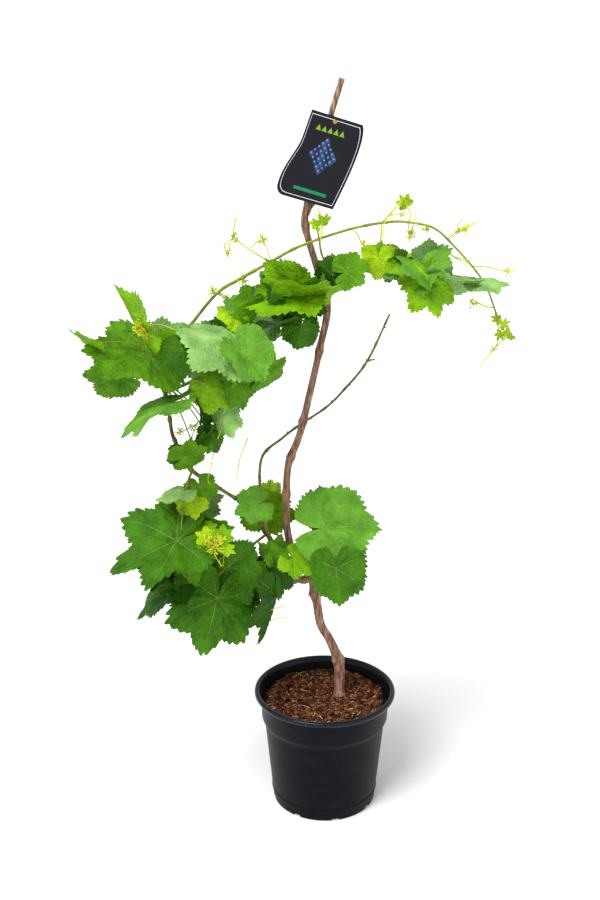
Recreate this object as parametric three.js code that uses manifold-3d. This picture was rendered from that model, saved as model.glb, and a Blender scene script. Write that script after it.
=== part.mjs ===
// A young potted grapevine: a nursery pot full of potting mix, a gnarled trunk that leans and forks,
// long canes that arch away from it, and masses of lobed leaves on their own stems.
// Millimetres, +Z up. The origin is the centre of the pot's flat underside, and -Y is the front.
import * as THREE from 'three';
import { mergeVertices } from 'three/addons/utils/BufferGeometryUtils.js';
import Module from 'manifold-3d';

const wasm = await Module();
wasm.setup();

// ---- Driving dimensions ----
const CLEAR = 0.3; // gap kept between solids that touch
const FUSE = 0.6; // slivers thinner than this are smoothed away where leaves are fused
const POT = {
  rim: 100, // outer radius of the rolled rim
  height: 171.5,
  foot: 73.4, // outer radius at the ground
  waist: 85.3, // outer radius where the wall meets the collar
  waistZ: 122,
  collar: 91,
  collarZ: 130,
  lip: 7.5, // height of the rolled rim
  wall: 1.8,
  floor: 2.5,
  sides: 28,
};
const DRAIN = { count: 8, width: 11, depth: 9, height: 5, phase: 12 };
const SOIL = { level: 155, mound: 2.5, bump: 1.3, rings: 5, footing: 15 };
const FOOT = { x: 21, y: 5 }; // where the trunk comes out of the soil
const LEAF = {
  // angle from the tip in degrees, the outline's radius there over the middle lobe's length, and how far
  // it draws in there on a deeply cut leaf
  lobes: [
    [0, 1, 0], [22, 0.88, 0.32], [48, 0.93, 0], [76, 0.84, 0.3], [106, 0.84, 0.04], [138, 0.7, 0.16],
    [160, 0.58, 0.1], [175, 0.14, 0],
  ],
  sinus: 0.06, // the outline's radius behind the stalk
  half: 0.013, // half the blade's thickness at its middle, over the middle lobe's length
  cup: 0.16, // how far the sides fall away
  droop: 0.2, // how far the tip falls away, where a leaf's row doesn't say
  cut: 0.35, // how deeply it is cut between the lobes, from 0 to 1, where a leaf's row doesn't say
  ruffle: 0.05,
  veins: [0, 2, 4, 12, 14], // outline points at the tips of the five lobes
  holders: [0, 0, 1, 1, 2, 2, 2, 2, -1, 3, 3, 3, 3, 4, 4, 0], // the vein that holds each outline point
  plainBelow: 63, // a leaf smaller than this has flat panels from its stalk to its outline
  stalk: 1.1, // radius of a leaf stalk
  sessile: 20, // a leaf smaller than this sits on its stem with no stalk
};

// ---- Small helpers ----
function vec(row) {
  return new THREE.Vector3(row[0], row[1], row[2]);
}

function random(seed) {
  let state = seed;
  return function next() {
    state = (state * 1664525 + 1013904223) % 4294967296;
    return state / 4294967296;
  };
}

// A smooth path through rows of [x, y, z, radius], read at 0 to 1.
function onPath(path, at) {
  const last = path.length - 1;
  const place = Math.min(Math.max(at, 0), 1) * last;
  const i = Math.min(Math.floor(place), last - 1);
  const u = place - i;
  const row = (k) => {
    if (k < 0) return path[0].map((v, n) => 2 * v - path[1][n]);
    if (k > last) return path[last].map((v, n) => 2 * v - path[last - 1][n]);
    return path[k];
  };
  const [a, b, c, d] = [row(i - 1), row(i), row(i + 1), row(i + 2)];
  return b.map((v, n) => 0.5 * (2 * v + (c[n] - a[n]) * u
    + (2 * a[n] - 5 * v + 4 * c[n] - d[n]) * u * u
    + (3 * v - a[n] - 3 * c[n] + d[n]) * u * u * u));
}

// How far along a path, from 0 to 1, a given length reaches near one place on it.
function shareOf(path, at, length) {
  const step = 0.001;
  const run = vec(onPath(path, at + step)).distanceTo(vec(onPath(path, at - step)));
  return (length * 2 * step) / run;
}

// ---- Solids ----
function solidFrom(geometry) {
  const bare = geometry.clone();
  bare.deleteAttribute('normal');
  bare.deleteAttribute('uv');
  const merged = mergeVertices(bare, 1e-4);
  return new wasm.Manifold(new wasm.Mesh({
    numProp: 3,
    vertProperties: new Float32Array(merged.attributes.position.array),
    triVerts: new Uint32Array(merged.index.array),
  }));
}

function geometryFrom(solid) {
  const mesh = solid.getMesh();
  const geometry = new THREE.BufferGeometry();
  geometry.setAttribute('position', new THREE.BufferAttribute(mesh.vertProperties, 3));
  geometry.setIndex(new THREE.BufferAttribute(mesh.triVerts, 1));
  return geometry;
}

// The largest body of a solid, with loose scraps dropped and sealed hollows filled.
function mainBody(solid) {
  return solid.decompose().reduce((best, body) => (body.volume() > best.volume() ? body : best));
}

function union(solids) {
  return wasm.Manifold.union(solids);
}

function meets(one, other) {
  return one.intersect(other).volume() > 0.001;
}

// A tapering limb: a cylinder bent along a path, from one place on it to another.
function limb(path, { sides = 6, rings = 12, from = 0, to = 1, grow = 0 } = {}) {
  const tube = new THREE.CylinderGeometry(1, 1, 1, sides, rings);
  const step = 0.002;
  const frames = [];
  let across = new THREE.Vector3(1, 0, 0);
  for (let k = 0; k <= rings; k += 1) {
    const at = from + ((to - from) * k) / rings;
    const here = onPath(path, at);
    const ahead = vec(onPath(path, at + step)).sub(vec(onPath(path, at - step))).normalize();
    if (Math.abs(across.dot(ahead)) > 0.95) across = new THREE.Vector3(0, 1, 0);
    across = across.clone().addScaledVector(ahead, -across.dot(ahead)).normalize();
    frames.push({ centre: vec(here), radius: here[3] + grow, across, other: across.clone().cross(ahead) });
  }
  const points = tube.attributes.position;
  for (let i = 0; i < points.count; i += 1) {
    const frame = frames[Math.round((points.getY(i) + 0.5) * rings)];
    const place = frame.centre.clone()
      .addScaledVector(frame.across, points.getX(i) * frame.radius)
      .addScaledVector(frame.other, points.getZ(i) * frame.radius);
    points.setXYZ(i, place.x, place.y, place.z);
  }
  return solidFrom(tube);
}

// ---- Leaves ----
// A leaf row is [x, y, z, size, heading, lean, roll, fold, droop, cut]: where its stalk meets the blade,
// the length of its middle lobe, the tip's direction in the front view (0 right, 90 up), how far the tip
// comes forward, how far the blade is turned about its middle vein, how far its halves are folded
// towards each other, how far its tip falls away, and how deeply it is cut. The last three may be left out.
function leafFrame(row) {
  const [heading, lean, roll, fold] = [...row.slice(4, 8), 0].slice(0, 4).map(THREE.MathUtils.degToRad);
  const tip = new THREE.Vector3(
    Math.cos(heading) * Math.cos(lean),
    -Math.sin(lean),
    Math.sin(heading) * Math.cos(lean),
  );
  const front = new THREE.Vector3(0, -1, 0);
  const face = front.addScaledVector(tip, -front.dot(tip)).normalize();
  face.applyAxisAngle(tip, roll);
  return {
    at: vec(row),
    size: row[3],
    tip,
    face,
    side: face.clone().cross(tip),
    fold,
    droop: row[8] ?? LEAF.droop,
    cut: row[9] ?? LEAF.cut,
  };
}

// The blade's middle surface, in lengths of the middle lobe.
function bladeHeight(frame, u, v) {
  const out = Math.hypot(u, v);
  const turn = Math.atan2(v, u);
  return -frame.droop * Math.max(u, 0) ** 2 - LEAF.cup * v * v + Math.abs(v) * Math.sin(frame.fold)
    + LEAF.ruffle * out * out * Math.cos(5 * turn);
}

function onLeaf(frame, u, v, lift = 0) {
  return frame.at.clone()
    .addScaledVector(frame.tip, u * frame.size)
    .addScaledVector(frame.side, v * Math.cos(frame.fold) * frame.size)
    .addScaledVector(frame.face, (bladeHeight(frame, u, v) + lift) * frame.size);
}

function leafOutline(lobes, cut) {
  const other = lobes.slice(1).reverse().map(([turn, out, depth]) => [-turn, out, depth]);
  return [...lobes, [180, LEAF.sinus, 0], ...other].map(([turn, out, depth]) => {
    const angle = THREE.MathUtils.degToRad(turn);
    const reach = out - cut * depth;
    return [reach * Math.cos(angle), reach * Math.sin(angle)];
  });
}

// A closed thin blade: an upper and a lower surface that meet at the outline. Each outline point hangs
// on one of the five main veins' middles, or on the stalk's end behind it.
function leafSolid(row, plain) {
  const frame = leafFrame(row);
  const outline = leafOutline(plain ? LEAF.lobes.slice(0, -2) : LEAF.lobes, frame.cut);
  const count = outline.length;
  const places = outline.map(([u, v]) => onLeaf(frame, u, v));
  const index = [];
  for (const up of [1, -1]) {
    const centre = places.length;
    places.push(onLeaf(frame, 0, 0, up * LEAF.half));
    for (const vein of plain ? [] : LEAF.veins) {
      const [u, v] = outline[vein];
      places.push(onLeaf(frame, u * 0.55, v * 0.55, up * LEAF.half * 0.7));
    }
    const holder = (i) => (plain || LEAF.holders[i] < 0 ? centre : centre + 1 + LEAF.holders[i]);
    for (let i = 0; i < count; i += 1) {
      const j = (i + 1) % count;
      const faces = [[holder(i), i, j]];
      if (holder(i) !== holder(j)) {
        faces.push([holder(i), j, holder(j)]);
        if (holder(i) !== centre && holder(j) !== centre) faces.push([centre, holder(i), holder(j)]);
      }
      faces.forEach((face) => index.push(...(up > 0 ? face : [face[0], face[2], face[1]])));
    }
  }
  const geometry = new THREE.BufferGeometry();
  geometry.setAttribute('position', new THREE.Float32BufferAttribute(places.flatMap((p) => p.toArray()), 3));
  geometry.setIndex(index);
  return solidFrom(geometry);
}

// A leaf stalk from the nearest place on the stem, sagging a little, and sunk into both ends.
function stalkPath(stem, [from, to], frame) {
  let foot = vec(stem[0]);
  let best = Infinity;
  for (let k = 1; k <= 24; k += 1) {
    const place = vec(onPath(stem, from + ((to - from) * k) / 24));
    const far = place.distanceTo(frame.at) + 0.6 * Math.max(place.z - frame.at.z, 0);
    if (far < best) [best, foot] = [far, place];
  }
  const end = onLeaf(frame, -0.03, 0);
  const middle = foot.clone().lerp(end, 0.5);
  middle.z += 0.1 * foot.distanceTo(end);
  const r = LEAF.stalk;
  return [[...foot.toArray(), r], [...middle.toArray(), r], [...end.toArray(), r * 0.8]];
}

// ---- Limb paths: rows of [x, y, z, radius] ----
const ground = SOIL.level + SOIL.mound * (1 - (Math.hypot(FOOT.x, FOOT.y) / 88) ** 2) + CLEAR;

const PATHS = {
  trunk: [
    [FOOT.x, FOOT.y, ground, 9], [FOOT.x, FOOT.y, ground + 12, 6.7], [20, 4, 208, 6.7], [7, 3, 245, 6.2],
    [-6, 2, 270, 5.9], [-12, 2, 305, 5.9], [-20, 2, 350, 6.8], [-44, -1, 380, 5.2], [-53, -3, 420, 4.8],
    [-54, -3, 457, 4.8], [-51, -2, 508, 4.7], [-36, 0, 550, 4.6], [-22, 2, 608, 4.5], [-10, 3, 665, 4.4],
    [0, 4, 725, 4.4], [-15, 4, 778, 4.2], [-28, 4, 825, 4], [-26, 3, 852, 4.2], [-12, 3, 908, 3.7],
    [3, 2, 963, 3.5], [16, 2, 1005, 3.4],
  ],
  trunkStub: [[-27, 4, 840, 3.2], [-23, 2, 850, 3.3], [-16, 0, 858, 3]],
  lowerArm: [
    [-18, 2, 342, 5], [-34, -2, 340, 4.6], [-48, -4, 347, 4.2], [-60, -8, 366, 3.8], [-68, -10, 389, 3.4],
    [-85, -10, 422, 3],
  ],
  armStub: [[-38, -3, 341, 4.2], [-46, -5, 339, 4.2], [-55, -6, 339, 4]],
  leftCane: [
    [-85, -10, 422, 2.8], [-110, -24, 460, 2.5], [-134, -36, 482, 2.4], [-174, -54, 517, 2.7],
    [-184, -57, 535, 2.3], [-198, -60, 567, 2.3], [-202, -60, 597, 2.3], [-207, -57, 625, 2.5],
  ],
  arch: [
    [-207, -57, 625, 2.3], [-205, -47, 662, 2.1], [-177, -34, 702, 2], [-141, -20, 744, 1.9],
    [-111, -14, 762, 1.7], [-71, -12, 784, 1.6], [-35, -12, 803, 1.5], [25, -2, 822, 1.4],
    [75, 8, 830, 1.4], [106, 12, 829, 1.3], [137, 12, 821, 1.2], [163, 8, 798, 1.1],
    [187, 4, 772, 1], [203, 0, 750, 1], [215, -3, 721, 1], [221, -6, 704, 0.9],
  ],
  budTwig: [[52, 14, 646, 1.2], [57, 12, 649, 1.2], [63, 10, 651, 0.9]],
  bareCane: [
    [-77, -10, 404, 2.1], [-88, 0, 440, 1.9], [-90, 6, 470, 1.8], [-86, 13, 515, 1.9], [-59, 20, 539, 1.7],
    [-36, 24, 556, 1.6], [0, 24, 581, 1.6], [24, 20, 607, 1.6], [53, 14, 647, 1.6], [81, 6, 712, 1.2],
  ],
};

// ---- Foliage: each mass has a stem and leaves, and grows from one limb ----
// space is the centre and reach of the ellipsoid that the seeded leaves keep to.
const MASSES = {
  shoot_left: {
    stem: PATHS.arch,
    span: [3 / 15, 7 / 15],
    leaves: [],
    tendrils: [
      [[-73, -12, 783, 1.1], [-100, -10, 799, 1], [-118, -8, 815, 0.9], [-116, -8, 837, 0.8]],
      [[-119, -8, 813, 0.9], [-130, -8, 804, 0.8], [-128, -8, 792, 0.7]],
      [[-141, -20, 744, 1], [-130, -16, 738, 0.9], [-115, -13, 730, 0.8]],
    ],
  },
  shoot_middle: {
    stem: PATHS.arch,
    span: [7 / 15, 9 / 15],
    leaves: [[98, 10, 853, 14, 124, 10, 0]],
    tendrils: [
      [[66, 6, 828, 1], [72, 6, 834, 1], [79, 6, 842, 0.9], [90, 5, 855, 0.8]],
      [[68, 6, 829, 1], [67, 4, 808, 0.8]],
      [[30, -1, 823, 1], [37, -4, 817, 0.9], [42, -4, 806, 0.8]],
      [[102, 12, 829, 1], [105, 11, 840, 0.9], [98, 10, 854, 0.8]],
      [[102, 12, 829, 1], [104, 10, 813, 0.8]],
    ],
  },
  shoot_tip: {
    stem: PATHS.arch,
    span: [9 / 15, 1],
    leaves: [],
    tendrils: [
      [[153, 10, 809, 1], [165, 5, 820, 0.9], [175, 5, 825, 0.8], [186, 5, 830, 0.8]],
      [[178, 6, 783, 1], [164, 4, 786, 0.9], [154, 2, 791, 0.8]],
      [[186, 4, 775, 1], [204, 2, 774, 0.9], [226, 0, 769, 0.8], [237, 0, 770, 0.8]],
      [[214, -3, 722, 1], [200, -4, 725, 0.9], [189, -5, 732, 0.8]],
      [[220, -6, 708, 1], [221, -5, 678, 0.9], [212, -5, 662, 0.8], [202, -5, 650, 0.8]],
    ],
  },
  leaves_top: {
    stem: [[-10, 4, 762, 1.4], [-3, -14, 778, 1.2], [-9, -19, 798, 1.1], [-14, -19, 830, 0.9]],
    leaves: [[-10, -19, 828, 20, 68, 21, 0], [-13, -19, 826, 18, 138, 25, 0]],
    tendrils: [[[-10, -19, 806, 1], [-8, -19, 828, 1.2], [-11, -18, 845, 1.4]]],
  },
  leaves_upper_left: {
    stem: [[-207, -57, 623, 2.2], [-216, -60, 645, 2], [-222, -62, 660, 1.8], [-220, -64, 682, 1.5]],
    leaves: [
      [-223, -52, 668, 90, 161, 15, 12, -58, 0.2], [-221, -96, 698, 80, 118, 3, -73, -8, 0.1],
      [-242, -78, 649, 56, 175, 20, 15, -35], [-292, -80, 692, 34, 153, 0, -65],
    ],
    flowers: [[-230, -96, 718, 9]],
    space: [[-232, -22, 665], [34, 30, 34]],
    extra: { count: 3, size: [42, 54], seed: 11 },
  },
  leaves_mid_left: {
    stem: [[-202, -60, 596, 1.6], [-201, -72, 603, 1.5], [-201, -106, 609, 1.4]],
    leaves: [[-198, -112, 625, 67, 194, 6, 90, 5, 0.45, 0.5]],
  },
  leaves_upper_mid: {
    stem: [
      [-206, -57, 624, 2.2], [-180, -60, 636, 2], [-150, -58, 650, 1.8], [-120, -54, 660, 1.6],
      [-88, -46, 664, 1.2],
    ],
    leaves: [
      [-114, -100, 702, 74, 162, 8, 78, -12], [-116, -90, 703, 62, -43, 15, 72, 0, 0.2, 0.2],
      [-182, -50, 679, 34, -81, 10, -32, -8], [-151, -86, 641, 39, -39, 19, -7, -20],
      [-118, -70, 644, 40, -69, 5, -50, 20], [-83, -64, 648, 38, 32, -7, 52, 10],
      [-154, -64, 615, 37, -86, 14, -70, 10], [-134, -74, 598, 31, -66, 22, 30, -10],
      [-167, -66, 555, 36, 45, 0, 62, 10],
    ],
    space: [[-140, 0, 672], [48, 38, 34]],
    extra: { count: 4, size: [36, 50], seed: 28 },
  },
  leaves_upper_centre: {
    stem: [[-1, 4, 731, 2], [-30, -12, 737, 1.9], [-70, -20, 728, 1.7], [-116, -24, 716, 1.3]],
    leaves: [
      [-39, -66, 754, 50, 142, 13, -48, 14], [-39, -72, 755, 58, 1, 5, 60, 8],
      [-40, -50, 751, 47, 149, 6, 65], [-40, -56, 749, 70, 186, 5, 84, 0],
      [-42, -44, 740, 36, -135, 4, -45, -15], [-28, -40, 741, 34, -73, 9, 40],
      [-33, -34, 706, 31, -101, 25, -7, -15, 0.2, 0.1], [-52, -32, 709, 50, -166, 7, -74, 0],
    ],
    space: [[-72, 14, 735], [40, 28, 22]],
    extra: { count: 3, size: [36, 48], seed: 31 },
  },
  leaves_upper_right: {
    stem: [
      [-7, 4, 755, 2], [16, -10, 772, 1.9], [66, -18, 779, 1.7], [126, -26, 771, 1.5], [154, -24, 768, 1.2],
      [186, -20, 764, 1],
    ],
    leaves: [
      [22, -44, 776, 30, 20, 12, -25, 10], [61, -50, 790, 30, -90, -10, 8, -19],
      [119, -40, 775, 46, 50, 0, -76, 0], [119, -44, 776, 43, 143, 0, 76, 0],
      [122, -58, 772, 50, -76, 22, -10, -30, 0.2, 0.1], [144, -40, 767, 46, -11, 15, 62, 12],
      [190, -32, 761, 38, 3, 12, -84],
    ],
    space: [[100, 10, 770], [60, 26, 16]],
    extra: { count: 3, size: [30, 40], seed: 44 },
  },
  leaves_hanging_left: {
    stem: [[-175, -54, 519, 1.8], [-182, -62, 500, 1.6], [-188, -70, 465, 1.4], [-189, -84, 434, 1.2]],
    leaves: [
      [-186, -90, 436, 104, 197, 14, 71, 5, 0.2, 0.9], [-184, -74, 432, 44, 24, 0, -10, -35],
      [-184, -70, 428, 64, -80, 10, -9, -40], [-181, -100, 551, 33, 22, 0, 36],
      [-154, -50, 445, 34, -17, 13, 45, 10], [-171, -62, 500, 34, -67, 13, 0],
      [-188, -66, 494, 36, -172, 10, 60],
    ],
    space: [[-206, -30, 440], [38, 26, 36]],
    extra: { count: 3, size: [38, 52], seed: 57 },
  },
  leaves_lower_left: {
    stem: [[-80, -10, 412, 2], [-104, -26, 398, 1.8], [-128, -38, 380, 1.7], [-158, -50, 356, 1.4]],
    leaves: [
      [-145, -72, 345, 78, -106, 28, -4, -12, 0.25, 0.5], [-130, -44, 378, 56, -62, 30, 12],
      [-209, -16, 373, 51, -124, 22, -18], [-202, -50, 353, 60, -165, 8, 92, 0, 0.62, 0.5],
    ],
    space: [[-150, 6, 355], [40, 36, 36]],
    extra: { count: 4, size: [42, 56], seed: 62 },
  },
  leaves_lower_centre: {
    stem: [[-72, -10, 396, 1.8], [-74, -24, 404, 1.7], [-80, -32, 430, 1.5], [-90, -30, 466, 1.2]],
    leaves: [
      [-81, -38, 365, 33, -91, 28, -43], [-69, -40, 377, 44, -81, 30, -6, -45],
      [-67, -44, 333, 70, -104, 26, -74, -16, 0.2, 0.8], [-50, -50, 393, 34, -34, 17, -48],
      [-67, -40, 392, 30, 75, -15, 45, 10], [-91, -40, 462, 38, -167, 22, 38, 15],
      [-87, 26, 436, 52, -11, 12, -11, 40], [-76, 16, 450, 30, 89, 0, 0, -50],
    ],
  },
  leaves_lower_right: {
    stem: [[-16, 2, 346, 2.2], [2, -16, 362, 2], [10, -34, 384, 1.6], [2, -44, 424, 1.3]],
    leaves: [[-1, -52, 434, 72, 8, 5, -44, 8, 0.3, 0.1], [13, -62, 383, 52, -86, 22, 8, -25, 0.25, 0.1]],
    space: [[18, 6, 408], [34, 30, 36]],
    extra: { count: 4, size: [36, 50], seed: 87 },
  },
};

// ---- Hanging label: outline in its own plane, from the rivet that holds it ----
const CARD = { at: [7.5, -14, 955], turn: -16.9, thick: 0.8, hole: 1.8 };
const TIE = { centre: [1.5, -3.3], across: 9.5, back: 9.4, band: 1, width: 3, shaft: 1.4, head: 3 };

// ---- Building ----
const taken = []; // solids that later ones keep clear of, each a little larger than it is

// A limb node: what its parents hold is cut away with a gap, and the gap is kept for later nodes.
function limbNode(path, { sides, rings, span = [0, 1], extras = [] }) {
  const [from, to] = span;
  const start = from > 0 ? from + shareOf(path, from, CLEAR / 2) : from;
  const end = to < 1 ? to - shareOf(path, to, CLEAR / 2) : to;
  const solids = [limb(path, { sides, rings, from: start, to: end })];
  const grown = [limb(path, { sides, rings, from: start, to: end, grow: CLEAR })];
  for (const extra of extras) {
    solids.push(limb(extra, { sides: 6, rings: 3 }));
    grown.push(limb(extra, { sides: 6, rings: 3, grow: CLEAR }));
  }
  const whole = union(solids);
  const made = mainBody(taken.length ? whole.subtract(union(taken)) : whole);
  taken.push(union(grown));
  return made;
}

// Leaves placed by a seeded rule inside a mass's space, facing away from its middle.
function seededLeaves(spec) {
  if (!spec.extra) return [];
  const draw = random(spec.extra.seed);
  const [centre, reach] = spec.space;
  const [small, large] = spec.extra.size;
  const rows = [];
  for (let k = 0; k < spec.extra.count; k += 1) {
    const turn = (360 * (k + draw())) / spec.extra.count;
    const out = 0.35 + 0.5 * Math.sqrt(draw());
    const back = draw() - 0.3;
    const size = small + (large - small) * draw();
    const angle = THREE.MathUtils.degToRad(turn);
    const row = [
      centre[0] + reach[0] * out * Math.cos(angle),
      centre[1] + reach[1] * back,
      centre[2] + reach[2] * out * Math.sin(angle),
      size,
      turn + 50 * (draw() - 0.5),
      -25 * draw(),
      180 + 70 * (draw() - 0.5),
    ];
    rows.push(row);
  }
  return rows;
}

const stems = []; // every mass's stem, grown, so that no other mass crosses it
const masses = [];

function massNode(name, spec) {
  const span = spec.span ?? [0, 1];
  const start = span[0] > 0 ? span[0] + shareOf(spec.stem, span[0], CLEAR / 2) : 0;
  const end = span[1] < 1 ? span[1] - shareOf(spec.stem, span[1], CLEAR / 2) : 1;
  const shape = { sides: 5, rings: spec.span ? 12 : 6, from: start, to: end };
  const pieces = [limb(spec.stem, shape)];
  for (const row of spec.tendrils ?? []) pieces.push(limb(row, { sides: 3, rings: row.length - 1 }));
  for (const [x, y, z, r] of spec.flowers ?? []) {
    const ball = new THREE.IcosahedronGeometry(r, 1).translate(x, y, z);
    pieces.push(solidFrom(ball));
    pieces.push(limb([[...onPath(spec.stem, 0.9).slice(0, 3), 1], [x, y, z, 0.9]], { sides: 3, rings: 2 }));
  }
  // A leaf that would touch a limb or another mass, or whose stalk would cross one, is skipped.
  const limbs = union([...taken, ...stems]);
  const others = union([limbs, ...masses]);
  [...spec.leaves, ...seededLeaves(spec)].forEach((row, n) => {
    const blade = leafSolid(row, n >= spec.leaves.length || row[3] < LEAF.plainBelow);
    const stalk = limb(stalkPath(spec.stem, span, leafFrame(row)), { sides: 3, rings: 1 });
    if (meets(blade, others) || (masses.length && meets(stalk, union(masses)))) return;
    pieces.push(blade);
    if (row[3] > LEAF.sessile) pieces.push(stalk);
  });
  const made = mainBody(union(pieces).simplify(FUSE).subtract(limbs).simplify(CLEAR / 3));
  stems.push(limb(spec.stem, { ...shape, grow: CLEAR }));
  masses.push(made);
  return made;
}

function buildPot() {
  const inner = POT.wall;
  const top = POT.height;
  const outline = [
    [0, 0], [POT.foot - 2, 0], [POT.foot, 2], [POT.waist, POT.waistZ], [POT.collar - 1.5, POT.collarZ],
    [POT.collar, top - POT.lip - 3], [POT.collar + 0.5, top - POT.lip], [POT.rim - 1.7, top - POT.lip],
    [POT.rim, top - POT.lip + 2], [POT.rim, top - 1.7], [POT.rim - 1.7, top], [POT.rim - 5, top],
    [POT.rim - 7, top - 1.6], [POT.rim - 7.5, top - POT.lip], [POT.collar - inner, top - 13],
    [POT.collar - 1.5 - inner, POT.collarZ + 1], [POT.waist - inner, POT.waistZ + 1.5],
    [POT.foot - inner, 4], [POT.foot - inner - 2, POT.floor], [0, POT.floor],
  ].map(([r, z]) => new THREE.Vector2(r, z));
  const wall = new THREE.LatheGeometry(outline, POT.sides).rotateX(Math.PI / 2);
  const notches = [];
  for (let k = 0; k < DRAIN.count; k += 1) {
    const notch = new THREE.BoxGeometry(DRAIN.depth, DRAIN.width, DRAIN.height * 2)
      .translate(POT.foot - 1, 0, 0)
      .rotateZ(THREE.MathUtils.degToRad(DRAIN.phase - 90 + (360 * k) / DRAIN.count));
    notches.push(solidFrom(notch));
  }
  return solidFrom(wall).subtract(union(notches));
}

function soilTop(x, y) {
  const away = Math.hypot(x - FOOT.x, y - FOOT.y) - SOIL.footing;
  const rough = Math.min(Math.max(away / 10, 0), 1);
  const mound = SOIL.mound * (1 - (Math.hypot(x, y) / 88) ** 2);
  const flat = SOIL.mound * (1 - (Math.hypot(FOOT.x, FOOT.y) / 88) ** 2);
  const bumps = SOIL.bump * (Math.sin(x / 7 + 1) * Math.cos(y / 8) + Math.sin((x + 2 * y) / 12));
  return SOIL.level + flat + (mound - flat + bumps) * rough;
}

function buildSoil() {
  const inner = POT.wall + CLEAR;
  const edge = POT.collar - inner - 0.2;
  const outline = [
    [0, POT.floor + CLEAR], [POT.foot - inner - 2, POT.floor + CLEAR], [POT.foot - inner, 4.2],
    [POT.waist - inner, POT.waistZ + 1.6], [POT.collar - 1.5 - inner, POT.collarZ + 1.1],
  ];
  for (let k = SOIL.rings; k >= 0; k -= 1) outline.push([(edge * k) / SOIL.rings, SOIL.level]);
  const points = outline.map(([r, z]) => new THREE.Vector2(r, z));
  const fill = new THREE.LatheGeometry(points, POT.sides).rotateX(Math.PI / 2);
  const place = fill.attributes.position;
  for (let i = 0; i < place.count; i += 1) {
    if (place.getZ(i) > SOIL.level - 1) place.setZ(i, soilTop(place.getX(i), place.getY(i)));
  }
  return solidFrom(fill);
}

function buildCard() {
  const outline = new THREE.Shape();
  outline.moveTo(-31, 6);
  outline.lineTo(34, 6);
  outline.bezierCurveTo(42, -8, 39, -45, 29, -102);
  outline.lineTo(-36, -103);
  outline.quadraticCurveTo(-46, -102, -46, -90);
  outline.bezierCurveTo(-46, -66, -34, -45, -33, -30);
  outline.closePath();
  const hole = new THREE.Path();
  hole.absarc(0, 0, CARD.hole, 0, 2 * Math.PI);
  outline.holes.push(hole);
  const card = new THREE.ExtrudeGeometry(outline, { depth: CARD.thick, bevelEnabled: false, curveSegments: 7 });
  return solidFrom(card);
}

function buildTie() {
  const band = new THREE.Shape();
  const [x, y] = TIE.centre;
  band.absellipse(x, y, TIE.across + TIE.band, TIE.back + TIE.band, 0, 2 * Math.PI);
  const inside = new THREE.Path();
  inside.absellipse(x, y, TIE.across, TIE.back, 0, 2 * Math.PI);
  band.holes.push(inside);
  const strap = new THREE.ExtrudeGeometry(band, { depth: TIE.width, bevelEnabled: false, curveSegments: 10 })
    .translate(0, 0, CARD.at[2] - TIE.width / 2);
  const [cx, cy, cz] = CARD.at;
  const shaft = new THREE.CylinderGeometry(TIE.shaft, TIE.shaft, 4.3, 12).translate(cx, cy + 0.75, cz);
  const head = new THREE.CylinderGeometry(TIE.head, TIE.head, 1.1, 14)
    .translate(cx, cy - CARD.thick - CLEAR - 0.55, cz);
  return union([strap, shaft, head].map(solidFrom));
}

const vine = new THREE.Group();
const MATERIALS = {
  plastic: new THREE.MeshStandardMaterial({ color: 0x15161a, roughness: 0.5 }),
  soil: new THREE.MeshStandardMaterial({ color: 0x4a2c1c, roughness: 1 }),
  bark: new THREE.MeshStandardMaterial({ color: 0x7b6453, roughness: 0.9 }),
  cane: new THREE.MeshStandardMaterial({ color: 0x6f7434, roughness: 0.7 }),
  leaf: new THREE.MeshStandardMaterial({ color: 0x3f8a1e, roughness: 0.6 }),
  shoot: new THREE.MeshStandardMaterial({ color: 0x9db32c, roughness: 0.6 }),
  card: new THREE.MeshStandardMaterial({ color: 0x1a1b22, roughness: 0.35 }),
  strap: new THREE.MeshStandardMaterial({ color: 0x8fae2c, roughness: 0.5 }),
};

function addNode(name, solid, material) {
  const mesh = new THREE.Mesh(geometryFrom(solid), MATERIALS[material]);
  mesh.name = name;
  vine.add(mesh);
  return mesh;
}

addNode('pot', buildPot(), 'plastic');
addNode('soil', buildSoil(), 'soil');
addNode('trunk', limbNode(PATHS.trunk, { sides: 8, rings: 46, extras: [PATHS.trunkStub] }), 'bark');
addNode('lower_arm', limbNode(PATHS.lowerArm, { sides: 7, rings: 11, extras: [PATHS.armStub] }), 'bark');
addNode('left_cane_lower', limbNode(PATHS.leftCane, { sides: 6, rings: 9, span: [0, 3 / 7] }), 'cane');
addNode('left_cane_upper', limbNode(PATHS.leftCane, { sides: 6, rings: 10, span: [3 / 7, 1] }), 'cane');
addNode('arch_cane', limbNode(PATHS.arch, { sides: 6, rings: 8, span: [0, 3 / 15] }), 'cane');
addNode('bare_cane_lower', limbNode(PATHS.bareCane, { sides: 5, rings: 7, span: [0, 3 / 9] }), 'cane');
addNode('bare_cane_upper', limbNode(PATHS.bareCane, {
  sides: 5, rings: 13, span: [3 / 9, 1], extras: [PATHS.budTwig],
}), 'cane');
for (const [name, spec] of Object.entries(MASSES)) {
  addNode(name, massNode(name, spec), name.startsWith('shoot') ? 'shoot' : 'leaf');
}
const card = addNode('label_card', buildCard(), 'card');
card.position.set(...CARD.at);
card.rotation.set(Math.PI / 2, 0, THREE.MathUtils.degToRad(CARD.turn));
addNode('label_tie', buildTie(), 'strap');

export default vine;
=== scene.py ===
"""The looks of a young potted grapevine, built round its CAD frame.

The pot, the soil, the limbs, the leaves and the label are each made by a function below. Lengths in the
tables are millimetres, in the frame's own axes: +Z up, -Y the front, the origin under the pot.
"""

import math

import bpy
import numpy as np
from mathutils import Matrix, Vector


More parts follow.
